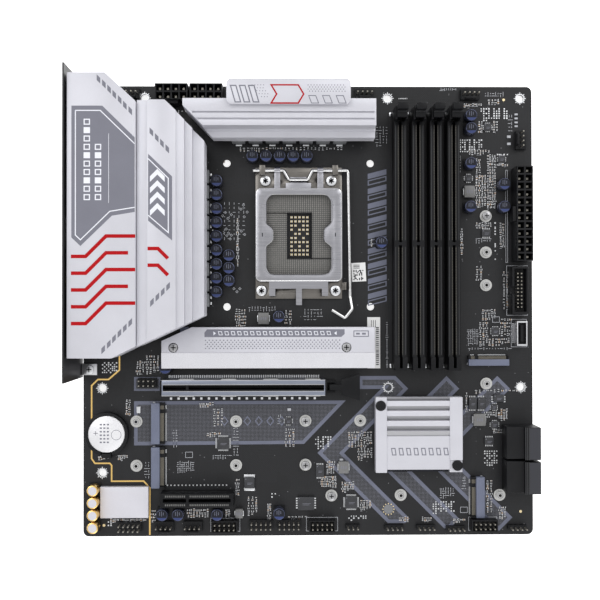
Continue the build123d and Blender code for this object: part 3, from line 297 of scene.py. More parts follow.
def rampOf(tree, value, low, high):
    ramp = addNode(tree, "ShaderNodeValToRGB")
    for element, (position, colour) in zip(ramp.color_ramp.elements, (low, high)):
        element.position = position
        element.color = (*colour, 1)
    feed(tree, ramp.inputs["Fac"], value)
    return Field(tree, ramp.outputs["Color"])


def tonesOf(tree, value, colour, spread):
    return rampOf(tree, value, (0.3, shade(colour, 1 - spread)), (0.7, shade(colour, 1 + spread)))


def mixOf(tree, factor, first, second):
    node = addNode(tree, "ShaderNodeMix", data_type="RGBA")
    for index, value in ((0, factor), (6, first), (7, second)):
        feed(tree, node.inputs[index], value)
    return Field(tree, node.outputs[2])


def dress(tree, shader, colour, rough, height, strength, depth):
    # colour, roughness and a fine relief on one shader
    feed(tree, shader.inputs["Base Color"], colour)
    feed(tree, shader.inputs["Roughness"], rough)
    bump = addNode(tree, "ShaderNodeBump", Strength=strength, Distance=depth)
    feed(tree, bump.inputs["Height"], height)
    tree.links.new(bump.outputs["Normal"], shader.inputs["Normal"])


def grainFinish(name, colour, rough=0.5, metallic=0.0, grain=1800.0, spread=0.08, roughSpread=0.12,
                bump=0.15, depth=0.00004, specular=0.5):
    # one colour with fine grain in colour, roughness and height
    finish, tree, shader = startFinish(name)
    place = objectPlace(tree)
    fine = noiseOf(tree, place, grain)
    both = fine * 0.55 + noiseOf(tree, place, grain / 30, 2.0) * 0.45
    dress(tree, shader, tonesOf(tree, both, colour, spread), both * (roughSpread * 2) + (rough - roughSpread),
          fine, bump, depth)
    shader.inputs["Metallic"].default_value = metallic
    shader.inputs["Specular IOR Level"].default_value = specular
    return finish


def brushedFinish(name, colour, rough=0.3, grain=(60, 2600, 60)):
    # metal with fine parallel scratches
    finish, tree, shader = startFinish(name)
    streak = noiseOf(tree, objectPlace(tree, grain), 1.0, 4.0)
    both = streak * 0.7 + noiseOf(tree, objectPlace(tree), 90.0, 2.0) * 0.3
    dress(tree, shader, tonesOf(tree, both, colour, 0.12), both * 0.24 + (rough - 0.12), streak, 0.12,
          0.00003)
    shader.inputs["Metallic"].default_value = 1.0
    return finish


def boardFinish(name, base):
    # solder mask over copper tracks: bundles of fine lines that change direction from patch to patch
    finish, tree, shader = startFinish(name)
    place = objectPlace(tree)
    heading, fill, _ = cellsOf(tree, place, distance="CHEBYCHEV", Scale=62.0, Randomness=0.9)
    x, y = axesOf(tree, place)
    first, second = heading < 0.36, heading > 0.68
    third = (first + second) * -1.0 + 1.0
    tracks = (waveOf(x, 0.00082) > 0.25) * first + (waveOf(y, 0.00082) > 0.25) * second
    tracks = tracks + (waveOf((x + y) * 0.7071, 0.00082) > 0.25) * third
    tracks = tracks * (fill > 0.34)   # some patches are plain copper fill
    chosen, _, distance = cellsOf(tree, place, Scale=420.0, Randomness=0.85)
    via = (distance < 0.13) * (chosen > 0.88)
    weave = noiseOf(tree, place, 900.0, 2.0)
    tone = mixOf(tree, tracks * 0.8, shade(base, 0.8), shade(base, 1.35))
    tone = mixOf(tree, weave * 0.3, tone, shade(base, 0.6))
    tone = mixOf(tree, via * 0.7, tone, (0.16, 0.16, 0.17))
    dress(tree, shader, tone, weave * 0.18 + 0.36, tracks + via * 0.8, 0.35, 0.00004)
    shader.inputs["Specular IOR Level"].default_value = 0.35
    return finish


def dottedFinish(name, ink, ground, pitch=0.00144, share=0.30):
    # fine printed dots in staggered rows
    finish, tree, shader = startFinish(name)
    x, y = axesOf(tree, objectPlace(tree))
    dots = waveOf(x + y, pitch) * waveOf(x - y, pitch) > 1 - 2 * share
    worn = noiseOf(tree, objectPlace(tree), 500.0)
    dress(tree, shader, mixOf(tree, dots, ground, mixOf(tree, worn, shade(ink, 0.8), shade(ink, 1.15))),
          worn * 0.2 + 0.4, dots, 0.2, 0.00002)
    return finish


def contactFinish(name, ground, metal, pitch, kind):
    # sprung contacts in plastic: a grid, or a row along one axis
    finish, tree, shader = startFinish(name)
    x, y = axesOf(tree, objectPlace(tree))
    across, along = waveOf(x, pitch), waveOf(y, pitch)
    bars = across + along > 0.6 if kind == "grid" else (across if kind == "x" else along) > 0.1
    speck = noiseOf(tree, objectPlace(tree), 1400.0 if kind == "grid" else 1100.0)
    rough, depth = (0.75, 0.0001) if kind == "grid" else (0.7, 0.00006)
    dress(tree, shader, mixOf(tree, bars * speck, ground, metal), bars * -0.3 + rough, bars, 0.4, depth)
    return finish


boardColour = (0.0072, 0.0075, 0.0092)
boardMask = boardFinish("board_mask", boardColour)
silverCoat = grainFinish("silver_coat", (0.53, 0.53, 0.575), 0.42, 0.25, 2600, 0.05, 0.08, 0.18, 0.00003)
silverEdge = grainFinish("silver_cut_edge", (0.72, 0.72, 0.76), 0.25, 0.85, 2200, 0.05, 0.06, 0.08)
# a darker silver for faces turned away from the light: painted shade
silverPaintedShade = grainFinish("silver_painted_shade", (0.36, 0.36, 0.375), 0.5, 0.3, 2600, 0.05)
printGrey = grainFinish("marksgrey", (0.172, 0.174, 0.208), 0.5, 0.0, 2400, 0.06, specular=0.2)
printPale = grainFinish("markspale", (0.72, 0.73, 0.78), 0.5, 0.1, 2400, 0.04)
printRed = grainFinish("marksred", (0.37, 0.003, 0.006), 0.5, 0.0, 2400, 0.08, specular=0.12)
silkBand = grainFinish("silk_band", (0.112, 0.121, 0.168), 0.55, 0.0, 1600, 0.12)
silkWhite = grainFinish("silk_white", (0.42, 0.43, 0.46), 0.6, 0.0, 1600, 0.12)
silkDots = dottedFinish("silk_dots", (0.150, 0.155, 0.190), shade(boardColour, 1.2))
blackPlastic = grainFinish("black_plastic", (0.0062, 0.0064, 0.0076), 0.45, 0.0, 2600, 0.25, 0.1, 0.2,
                           specular=0.2)
slotPlastic = grainFinish("slot_plastic", (0.0055, 0.0057, 0.0068), 0.42, 0.0, 2200, 0.25, 0.08, 0.15,
                          specular=0.16)
greyPlastic = grainFinish("grey_plastic", (0.115, 0.130, 0.190), 0.45, 0.0, 2200, 0.12)
whitePlastic = grainFinish("white_plastic", (0.60, 0.60, 0.62), 0.4, 0.0, 2200, 0.05)
chipEpoxy = grainFinish("chip_epoxy", (0.020, 0.021, 0.025), 0.5, 0.0, 3000, 0.2, 0.1, 0.3)
ferrite = grainFinish("ferrite", (0.16, 0.165, 0.175), 0.62, 0.2, 1500, 0.25, 0.1, 0.5)
gold = grainFinish("gold_plate", (0.78, 0.53, 0.19), 0.26, 1.0, 1800, 0.08, 0.08)
paleGold = grainFinish("pale_gold", (0.80, 0.66, 0.40), 0.3, 1.0, 1800, 0.08, 0.08)
tin = grainFinish("tin", (0.66, 0.67, 0.69), 0.32, 1.0, 1500, 0.12, 0.1, 0.2)
solder = grainFinish("solder", (0.62, 0.63, 0.65), 0.24, 1.0, 1200, 0.12, 0.1, 0.15)
plateSteel = brushedFinish("load_plate_steel", (0.32, 0.32, 0.345), 0.30)
wireSteel = brushedFinish("wire_steel", (0.62, 0.62, 0.62), 0.22, (900, 900, 900))
frameSteel = brushedFinish("frame_steel", (0.17, 0.160, 0.148), 0.30)
armorSteel = brushedFinish("armor_steel", (0.24, 0.26, 0.32), 0.36, (30, 2600, 30))
portSteel = brushedFinish("port_steel", (0.60, 0.60, 0.62), 0.3, (60, 60, 2600))
blackSteel = grainFinish("black_steel", (0.013, 0.013, 0.015), 0.4, 0.0, 2400, 0.2, 0.08, 0.2, specular=0.35)
brassPost = grainFinish("plated_brass", (0.52, 0.52, 0.51), 0.34, 0.6, 1500, 0.1)
screwSteel = grainFinish("screw_steel", (0.34, 0.34, 0.35), 0.3, 1.0, 1600, 0.15)
padRubber = grainFinish("pad_rubber", (0.30, 0.36, 0.46), 0.8, 0.0, 1200, 0.12, 0.06, 0.4)
paper = grainFinish("label_paper", (0.72, 0.72, 0.72), 0.75, 0.0, 3000, 0.04, 0.05, 0.2)
ceramicTan = grainFinish("ceramic_tan", (0.22, 0.135, 0.07), 0.45, 0.0, 3000, 0.2)
blueInk = grainFinish("blue_ink", (0.034, 0.050, 0.150), 0.35, 0.1, 2400, 0.15, specular=0.3)
canDark = grainFinish("can_dark", (0.010, 0.011, 0.017), 0.36, 0.0, 2200, 0.2, specular=0.2)
socketField = contactFinish("socket_field", (0.075, 0.074, 0.072), (0.33, 0.32, 0.29), 0.0011, "grid")
canMetal = grainFinish("can_metal", (0.060, 0.068, 0.115), 0.25, 0.7, 1800, 0.1, 0.08, 0.1)
coilGrey = grainFinish("coil_grey", (0.150, 0.150, 0.150), 0.5, 0.2, 1600, 0.15)
dullGold = grainFinish("dull_gold", (0.24, 0.22, 0.18), 0.4, 0.8, 1800, 0.12)
darkPin = grainFinish("dark_pin", (0.30, 0.285, 0.25), 0.4, 0.8, 1800, 0.1)
edgeSheen = grainFinish("edge_sheen", (0.026, 0.027, 0.030), 0.4, 0.0, 2200, 0.2)
collarGrey = grainFinish("collar_grey", (0.018, 0.019, 0.026), 0.45, 0.0, 2200, 0.15)
# a bright steel for the folds and tabs of the slot armor: painted highlight
armorPaintedHighlight = brushedFinish("armor_painted_highlight", (0.62, 0.62, 0.62), 0.3)
whitePaint = grainFinish("white_paint", (0.56, 0.555, 0.60), 0.4, 0.1, 2200, 0.04)
cellSteel = grainFinish("cell_steel", (0.74, 0.74, 0.76), 0.38, 0.5, 1800, 0.06)
signalGreen = grainFinish("signal_green", (0.10, 0.42, 0.12), 0.35, 0.0, 1600, 0.1)
signalAmber = grainFinish("signal_amber", (0.62, 0.30, 0.04), 0.35, 0.0, 1600, 0.1)
jackGreen = grainFinish("jack_green", (0.16, 0.44, 0.14), 0.4, 0.0, 1600, 0.1)
jackPink = grainFinish("jack_pink", (0.60, 0.22, 0.30), 0.4, 0.0, 1600, 0.1)
contactStripe = contactFinish("contact_stripe", (0.006, 0.006, 0.007), (0.12, 0.108, 0.08), 0.00085, "y")
contactStripeAcross = contactFinish("contact_stripe_across", (0.006, 0.006, 0.007), (0.24, 0.24, 0.23),
                                    0.001, "x")
darkLaminate = grainFinish("dark_laminate", (0.022, 0.035, 0.028), 0.4, 0.0, 1800, 0.2)
print("finishes made")

plain = [
    (boardMask, "pcb"), (blackSteel, "io_shield socket_backplate"), (portSteel, "usb_ports display_ports"),
    (portSteel, "network_port usb_c_header"), (paleGold, "antenna_posts audio_capacitors"),
    (silverCoat, "io_cover rear_heatsink top_heatsink accent_plate m2_heatsink chipset_heatsink"),
    (screwSteel, "shield_screw heatsink_screws socket_screws m2_screws"), (chipEpoxy, "power_stages chips"),
    (ferrite, "chokes"), (padRubber, "power_pads m2_pad chipset_pad"), (frameSteel, "socket_frame"),
    (plateSteel, "load_plate"), (wireSteel, "socket_lever"), (armorSteel, "slot_armor"),
    (blackPlastic, "audio_jacks socket_body chipset_push_pins main_power_socket cpu_power_sockets"),
    (blackPlastic, "drive_ports usb_header pin_headers fan_sockets battery_holder"),
    (slotPlastic, "long_expansion_slot slot_latch short_expansion_slot"), (greyPlastic, "m2_sockets"),
    (slotPlastic, "dimm_slot_1 dimm_slot_2 dimm_slot_3 dimm_slot_4"), (brassPost, "m2_standoffs"),
    (slotPlastic, "dimm_latch_1 dimm_latch_2 dimm_latch_3 dimm_latch_4"), (darkLaminate, "chipset"),
    (darkPin, "power_pins header_pins"), (tin, "battery_cell inductors"), (whitePlastic, "audio_shield"),
    (canDark, "capacitors")]
for finish, nodes in plain:
    for node in nodes.split():
        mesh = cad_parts[node].data
        mesh.materials.clear()
        mesh.materials.append(finish)
print("board parts finished")


artTop = 0.035


def addFrame(bm, points, width, mat, low=0.0, high=artTop):
    # a closed border of one width, inside the outline
    middle = [Vector(p) for p in points]
    area = sum(a.x * b.y - b.x * a.y for a, b in zip(middle, middle[1:] + middle[:1]))
    inset = []
    for i, here in enumerate(middle):
        first = (here - middle[i - 1]).normalized()
        second = (middle[(i + 1) % len(middle)] - here).normalized()
        side = Vector((-first.y, first.x)) + Vector((-second.y, second.x))
        side = side.normalized() * (1 if area > 0 else -1)
        reach = width / 2 / max(0.3, abs(side.dot(Vector((-first.y, first.x)))))
        inset.append(tuple(here + side * reach))
    addStroke(bm, inset, width, low, high, mat, closed=True)


bands = {
    "border": 1.9, "hatchTop": 0.02,
    "fields": [
        [(27.3, 170.9), (142.0, 170.8), (119.3, 194.3), (27.3, 194.8)],
        [(149.2, 157.6), (169.1, 157.6), (176.0, 164.5), (141.0, 199.4), (176.6, 235.0), (174.2, 237.4),
         (164.8, 237.4), (126.6, 199.2), (161.2, 164.6), (149.2, 164.6)],
        [(196.9, 157.7), (203.8, 164.6), (181.0, 187.4), (174.2, 180.5)],
        [(159.0, 204.0), (172.4, 204.0), (203.6, 235.2), (198.6, 240.4), (195.4, 240.4)],
        [(187.0, 204.4), (202.4, 204.4), (232.6, 234.6), (225.3, 241.9), (222.0, 239.4)],
        [(224.6, 157.7), (231.6, 164.7), (205.0, 191.3), (198.0, 184.4)]],
    "hatchBlock": ((27.3, 41.6), (157.8, 165.3)),
    "track": [(19.4, 146.0), (19.4, 154.0), (13.5, 159.1), (7.8, 159.1), (4.4, 162.4),
              (4.4, 201.8), (6.2, 204.4), (14.2, 204.4), (15.2, 205.6), (15.2, 214.1),
              (32.5, 214.1), (35.8, 217.7), (35.8, 243.2)],
    "trackWidth": 0.8,
    "emblemU": (153.8, 164.4), "emblemV": (45.0, 118.6), "emblemCount": 9}


def makeBoardArt():
    bm = bmesh.new()
    for field in bands["fields"]:
        addPrism(bm, field, 0.0, bands["hatchTop"], 1)
        addFrame(bm, field, bands["border"], 0)
    span = bands["hatchBlock"]
    addBox(bm, span[0], span[1], (0.0, bands["hatchTop"]), 1)
    addFrame(bm, rect(span[0][0], span[1][0], span[0][1], span[1][1]), 1.0, 0)
    addStroke(bm, bands["track"], bands["trackWidth"], 0.0, 0.03, 3)
    # slanted bars and outlined bars in a column beside the socket
    left, right = bands["emblemU"]
    low, high = bands["emblemV"]
    step = (high - low) / bands["emblemCount"]
    for k in range(bands["emblemCount"]):
        top = low + k * step
        slant = [(left + 0.4, top + 2.6), (right, top), (right, top + 2.9), (left + 0.4, top + 5.5)]
        addPrism(bm, slant, 0.0, artTop, 0)
        addFrame(bm, [(u, v + 3.6) for u, v in slant], 0.6, 0)
    # a row of outlined lozenges in the long band
    for k in range(6):
        u = 74.0 + 6.2 * k
        addFrame(bm, [(u, 181.8), (u + 2.2, 179.0), (u + 4.4, 181.8), (u + 2.2, 184.6)], 0.6, 0)
    makePrint(bm, "board_print", [silkBand, silkDots, silkWhite, gold])


makeBoardArt()

ground = {"holes": [(33.02, 6.35), (165.1, 6.35), (237.49, 6.35), (10.16, 163.83), (165.1, 163.83),
                    (237.49, 163.83), (10.16, 209.55)], "blind": (165.1, 229.87), "rays": 8, "inner": 2.2,
          "outer": 3.35, "dots": [(228.6, 7.1), (237.1, 231.4), (11.1, 237.9)]}


def makeGroundPads():
    bm = bmesh.new()
    for u, v in ground["holes"]:
        for k in range(ground["rays"] * 2):
            turn = math.pi * k / ground["rays"]
            reach = ground["outer"] if k % 2 == 0 else ground["outer"] - 0.5
            out = Vector((math.cos(turn), math.sin(turn)))
            side = Vector((-out.y, out.x)) * 0.27
            base = Vector((u, v))
            near, far = base + out * (ground["inner"] + 0.35), base + out * reach
            addPrism(bm, [near - side, far - side * 0.6, far + side * 0.6, near + side], 0.0, 0.05, 0)
        addRing(bm, (u, v), ground["inner"] - 0.2, ground["inner"] + 0.3, 24, 0.0, 0.05, 0)
    u, v = ground["blind"]
    addPost(bm, (u, v), 2.5, 0.0, 0.05, 2, 24)
    for k in range(12):
        turn = math.pi * k / 6
        addPost(bm, (u + 3.0 * math.cos(turn), v + 3.0 * math.sin(turn)), 0.34, 0.0, 0.06, 1, 8)
    for place in ground["dots"]:
        addPost(bm, place, 0.75, 0.0, 0.05, 1, 16)
    makePiece(bm, "ground_pads", [tin, paleGold, ferrite], smooth=False)


makeGroundPads()

# patches of small parts: from u, from v, to u, to v, how many, kind (0 mixed, 1 bare pads, 2 print marks)
clusters = [
    (84.0, 33.2, 141.0, 35.6, 34, 0), (69.4, 48.0, 70.4, 120.0, 44, 1), (171.0, 5.8, 176.0, 7.4, 4, 0),
    (193.8, 1.0, 203.0, 2.4, 12, 2), (218.0, 3.0, 229.0, 5.6, 16, 2), (219.8, 6.7, 226.4, 9.5, 8, 0),
    (203.0, 9.4, 216.7, 11.0, 18, 0), (215.6, 11.4, 231.0, 19.0, 58, 1), (214.6, 18.6, 217.0, 25.6, 8, 0),
    (222.4, 18.6, 225.6, 25.6, 9, 0), (231.0, 15.0, 233.6, 25.0, 10, 2), (202.8, 28.5, 217.0, 36.0, 60, 1),
    (209.0, 34.4, 221.0, 37.0, 14, 0), (219.2, 37.0, 224.2, 66.6, 76, 0), (223.8, 36.6, 231.0, 37.4, 8, 1),
    (223.8, 42.0, 231.0, 43.4, 6, 0), (212.9, 39.2, 216.0, 47.4, 12, 0), (202.6, 37.4, 205.4, 47.0, 12, 2),
    (202.8, 48.0, 205.0, 62.6, 12, 2), (212.8, 48.2, 219.0, 66.4, 54, 0), (213.0, 74.0, 222.0, 77.6, 16, 0),
    (223.0, 73.2, 224.4, 96.0, 30, 1), (226.0, 74.4, 228.8, 88.0, 18, 0), (203.4, 77.0, 206.0, 91.6, 20, 0),
    (212.6, 82.4, 221.6, 85.6, 14, 2), (212.6, 97.6, 216.8, 106.0, 12, 0),
    (227.6, 100.4, 231.0, 121.6, 26, 0), (216.0, 121.2, 224.0, 127.6, 18, 0),
    (214.6, 128.0, 219.6, 141.4, 26, 0), (219.6, 137.0, 231.6, 141.6, 18, 0),
    (226.4, 126.0, 232.6, 136.0, 20, 0), (208.4, 132.2, 214.2, 141.4, 46, 2),
    (208.6, 142.4, 232.4, 144.0, 16, 2), (212.0, 165.0, 236.4, 167.4, 14, 0),
    (226.0, 175.6, 230.4, 182.0, 14, 0), (217.4, 177.0, 226.0, 180.6, 14, 0),
    (207.0, 166.4, 208.4, 177.4, 8, 0), (222.0, 186.4, 228.4, 189.0, 10, 0),
    (217.0, 198.0, 224.8, 206.8, 40, 1), (205.4, 212.4, 207.2, 219.6, 10, 2),
    (188.8, 225.4, 201.4, 232.8, 48, 1), (193.0, 218.4, 201.0, 224.4, 26, 2),
    (225.0, 228.4, 229.0, 235.6, 14, 0), (199.8, 235.0, 206.6, 237.4, 8, 0),
    (170.6, 234.0, 176.2, 236.4, 8, 0), (182.8, 234.0, 188.6, 236.4, 8, 0),
    (218.0, 214.0, 222.0, 232.0, 26, 0), (125.0, 190.0, 134.4, 197.4, 40, 1),
    (143.0, 187.4, 156.4, 196.2, 46, 0), (148.0, 196.6, 156.6, 203.4, 22, 0),
    (131.4, 203.4, 135.8, 210.4, 20, 0), (128.4, 211.6, 137.0, 217.8, 30, 0),
    (139.4, 214.8, 146.6, 220.4, 22, 0), (149.6, 224.6, 155.8, 230.4, 18, 0),
    (143.0, 233.0, 153.4, 236.2, 18, 1), (110.4, 232.8, 121.0, 236.0, 10, 0),
    (99.4, 226.0, 101.4, 235.4, 12, 0), (88.2, 222.4, 94.4, 232.8, 20, 0),
    (82.0, 212.6, 84.4, 222.0, 10, 0), (101.0, 220.4, 104.6, 223.8, 4, 1),
    (108.6, 185.6, 114.6, 195.6, 18, 0), (105.0, 178.4, 107.0, 184.0, 8, 2),
    (66.6, 188.0, 74.0, 190.0, 10, 0), (69.4, 199.8, 80.0, 202.4, 14, 2), (80.6, 185.0, 84.0, 201.0, 20, 2),
    (62.6, 171.8, 70.4, 174.0, 10, 0), (69.8, 174.6, 75.8, 184.4, 18, 0), (50.4, 203.6, 59.6, 209.8, 44, 2),
    (48.0, 186.0, 51.0, 196.0, 14, 2), (22.6, 169.6, 25.6, 178.4, 14, 0), (32.8, 203.4, 36.0, 212.8, 12, 2),
    (8.0, 200.4, 14.0, 202.2, 8, 0), (18.6, 199.8, 24.0, 202.6, 10, 0), (9.8, 149.6, 18.4, 155.8, 46, 1),
    (28.4, 149.0, 33.0, 157.0, 14, 0), (33.4, 146.0, 41.2, 156.6, 26, 0), (14.4, 234.6, 34.0, 236.0, 20, 0),
    (12.8, 235.6, 17.0, 238.4, 8, 1), (36.6, 229.4, 39.0, 236.2, 8, 0), (56.0, 229.0, 68.0, 233.8, 24, 0),
    (76.4, 229.4, 79.4, 233.4, 8, 0), (75.0, 62.6, 88.0, 84.0, 44, 2), (82.4, 72.0, 84.4, 98.0, 26, 0),
    (82.0, 121.0, 88.0, 131.0, 24, 0), (89.0, 119.6, 104.4, 122.4, 20, 2),
    (108.6, 121.4, 113.0, 129.4, 10, 0), (119.0, 120.6, 129.6, 127.8, 22, 2),
    (155.4, 83.0, 157.0, 87.4, 4, 0), (158.4, 21.4, 165.4, 33.0, 26, 2),
    (163.6, 128.0, 165.4, 153.0, 22, 2), (20.0, 6.6, 28.0, 9.0, 8, 0), (45.4, 13.0, 56.0, 15.6, 10, 0)]
single = {"whiteCan": (29.8, 175.5), "lights": [(235.3, 15.1), (235.3, 17.3), (235.3, 19.5), (235.3, 21.6)],
          "pale": [(231.3, 27.3), (231.3, 31.2), (111.3, 175.6), (139.5, 203.0)],
          "boxes": [(227.4, 179.2), (206.2, 230.4), (224.0, 127.0), (57.0, 200.0)],
          "lozenges": [(76.8, 68.6), (75.2, 70.4), (78.2, 71.8), (80.0, 69.8), (86.6, 64.6),
                       (85.2, 66.8), (88.6, 68.4), (87.0, 71.0), (77.2, 77.6), (78.4, 79.8),
                       (80.0, 81.0), (75.8, 79.6), (77.6, 81.2), (79.4, 83.0), (85.4, 78.8),
                       (87.2, 80.6), (81.4, 110.0), (83.0, 111.6), (84.6, 110.0)],
          "frames": [(68.6, 234.2, 84.6, 241.6), (120.4, 234.0, 137.6, 241.6),
                     (208.6, 234.2, 224.2, 241.6), (229.4, 45.4, 230.6, 96.0),
                     (229.8, 97.6, 241.4, 124.8), (232.2, 126.8, 240.8, 142.0)]}


def addSmall(bm, u, v, turned, length, width, body):
    # a chip resistor or capacitor with its two tinned ends
    size = (width, length) if turned else (length, width)
    core = (size[0], size[1] - 0.5) if turned else (size[0] - 0.5, size[1])
    addBlock(bm, (u, v), core, 0.0, 0.45, body)
    for side in (-1, 1):
        shift = side * (length / 2 - 0.14)
        middle = (u, v + shift) if turned else (u + shift, v)
        end = (size[0] + 0.04, 0.3) if turned else (0.3, size[1] + 0.04)
        addBlock(bm, middle, end, 0.0, 0.48, 0)


def makeSmallParts():
    bm = bmesh.new()
    marks = bmesh.new()
    dice = random.Random(7)
    for lowU, lowV, highU, highV, count, kind in clusters:
        wide, tall = highU - lowU, highV - lowV
        columns = max(1, round(math.sqrt(count * wide / max(tall, 0.6))))
        rows = max(1, math.ceil(count / columns))
        for k in range(count):
            u = lowU + (k % columns + 0.5) * wide / columns
            v = lowV + (k // columns + 0.5) * tall / rows
            if kind == 0:
                turned = dice.random() < 0.5
                size = dice.choice([(1.0, 0.55), (1.0, 0.55), (1.4, 0.8), (0.8, 0.45)])
                addSmall(bm, u + dice.uniform(-0.15, 0.15), v + dice.uniform(-0.12, 0.12), turned, *size,
                         dice.choice([1, 1, 2, 2, 1]))
                if dice.random() < 0.3:
                    addBlock(marks, (u, v + 0.9), (1.0, 0.22), 0.0, artTop, 0)
            elif kind == 1:
                if (k + k // columns) % 2 or dice.random() < 0.35:
                    side = dice.uniform(0.55, 0.8)
                    addBlock(bm, (u, v), (side, side), 0.0, 0.14, 0)
            else:
                length = dice.uniform(0.5, min(1.8, max(0.7, wide)))
                if dice.random() < 0.5:
                    addBlock(marks, (u, v), (length, 0.24), 0.0, artTop, 0)
                else:
                    addBlock(marks, (u, v), (0.24, length), 0.0, artTop, 0)
    for place in single["pale"]:
        addBlock(bm, place, (1.9, 1.3), 0.0, 0.6, 3)
    for place in single["lights"]:
        addBlock(bm, place, (1.7, 0.9), 0.0, 0.6, 3)
    addBlock(bm, single["whiteCan"], (2.2, 3.6), 0.0, 0.9, 0, 0.3)
    makePiece(bm, "small_parts", [tin, chipEpoxy, ceramicTan, silkWhite], smooth=False)
    # component outlines: lozenges by the rear capacitors and a few boxes
    for u, v in single["lozenges"]:
        addFrame(marks, lozenge(u, v, 0.8), 0.2, 0)
    for u, v in single["boxes"]:
        addFrame(marks, rect(u - 2.0, v - 1.6, u + 2.0, v + 1.6), 0.2, 0)
    for corners in single["frames"]:
        addFrame(marks, rect(*corners), 0.22, 0)
    makePrint(marks, "component_marks", [silkWhite])


makeSmallParts()
print("board print and small parts made")

addedCoat = {"coverEdge": 0.5, "sinkEdge": 0.45, "plateEdge": 0.2}
softened("io_cover", addedCoat["coverEdge"], [silverCoat])
softened("rear_heatsink", addedCoat["sinkEdge"], [silverCoat])
softened("top_heatsink", addedCoat["sinkEdge"], [silverCoat])
softened("accent_plate", addedCoat["plateEdge"], [silverCoat])


def addDash(bm, u, v, rise, height, mat, low):
    # an upright bar whose ends slant
    addPrism(bm, [(u - 0.9, v - height / 2 - rise), (u + 0.9, v - height / 2 + rise),
                  (u + 0.9, v + height / 2 + rise), (u - 0.9, v + height / 2 - rise)], low, low + 0.05, mat)


cover = {
    "top": 39.0, "sinkTop": 38.0,
    "panel": [(2.3, 19.0), (17.7, 19.0), (33.9, 34.9), (33.9, 72.3), (22.5, 74.2), (6.8, 89.4), (2.3, 85.1)],
    "line": [(4.3, 21.4), (16.7, 21.4), (33.9, 38.1)],
    "lineBack": [(33.9, 70.0), (21.5, 72.0), (6.8, 86.3), (4.3, 83.9), (4.3, 21.4)],
    "sidePanel": [(40.5, 43.0), (52.5, 54.4), (52.5, 86.6), (40.5, 76.6)],
    "sideLine": [(40.5, 45.4), (50.6, 55.3), (50.6, 82.6), (40.5, 73.9)],
    "chevrons": [50.6, 56.3, 62.0, 67.7],
    "redSteps": [(2.1, 94.6), (9.4, 94.6), (19.6, 84.4), (34.2, 84.4)], "redRows": 5, "redPitch": 8.4,
    "redSide": [(40.2, 90.6), (45.4, 90.6), (50.4, 95.6)],
    "redWidth": 1.8,
    "topDashes": [(15.8, 5.6), (18.5, 8.1), (21.1, 10.7), (23.7, 13.4), (26.4, 16.0), (29.0, 18.8),
                  (31.7, 21.5)],
    "sinkTopDashes": [(42.1, 32.0), (44.8, 34.9), (47.4, 37.7), (50.1, 40.5)],
    "footDashes": [(18.2, 141.2), (21.0, 138.5), (23.6, 135.8), (26.3, 133.1), (29.0, 130.5), (31.7, 127.8)],
    "sinkFootDashes": [(42.4, 117.6), (45.1, 115.0), (47.8, 112.4), (50.5, 109.7)]}


def makeCoverArt():
    bm = bmesh.new()
    top, line = cover["top"], cover["top"] + 0.05
    addPrism(bm, cover["panel"], top, line, 0)
    addStroke(bm, cover["line"], 0.5, line, line + 0.03, 1)
    addStroke(bm, cover["lineBack"], 0.5, line, line + 0.03, 1)
    addBox(bm, (20.8, 21.0), (33.0, 67.8), (line, line + 0.03), 1)
    # two columns of plain blocks
    for low, high, count in ((8.4, 11.6, 10), (14.0, 17.2, 7)):
        for k in range(count):
            v = 67.6 - 4.2 * (k + 1)
            if k % 3 == 2:
                addBox(bm, (low, high), (v, v + 3.0), (line, line + 0.03), 1)
            else:
                addFrame(bm, rect(low, v, high, v + 3.0), 0.55, 1, line, line + 0.03)
    # parallel lines with one slanted step, each row a little shorter
    for row in range(cover["redRows"]):
        drop = row * cover["redPitch"]
        path = [(u, v + drop) for u, v in cover["redSteps"]]
        path[-1] = (path[-1][0] - 3.6 * (row % 2), path[-1][1])
        addStroke(bm, path, cover["redWidth"], top, line, 2)
    for u, v in cover["topDashes"]:
        addDash(bm, u, v, 0.9, 2.9, 0, top)
    for u, v in cover["footDashes"]:
        addDash(bm, u, v, -0.9, 2.9, 0, top)
    makePrint(bm, "cover_print", [printGrey, printPale, printRed])
    bm = bmesh.new()
    top, line = cover["sinkTop"], cover["sinkTop"] + 0.05
    addPrism(bm, cover["sidePanel"], top, line, 0)
    addStroke(bm, cover["sideLine"], 0.5, line, line + 0.03, 1)
    for v in cover["chevrons"]:
        addPrism(bm, [(41.4, v + 3.7), (45.1, v), (48.8, v + 3.7), (48.8, v + 6.5), (45.1, v + 2.8),
                      (41.4, v + 6.5)], line, line + 0.03, 1)
    for row in range(2):
        addStroke(bm, [(u, v + 8.4 * row) for u, v in cover["redSide"]], cover["redWidth"], top, line, 2)
    for u, v in cover["sinkTopDashes"]:
        addDash(bm, u, v, 0.9, 2.9, 0, top)
    for u, v in cover["sinkFootDashes"]:
        addDash(bm, u, v, -0.9, 2.9, 0, top)
    makePrint(bm, "rear_sink_print", [printGrey, printPale, printRed])


makeCoverArt()

plate = {"top": 34.8, "dot": 0.42}


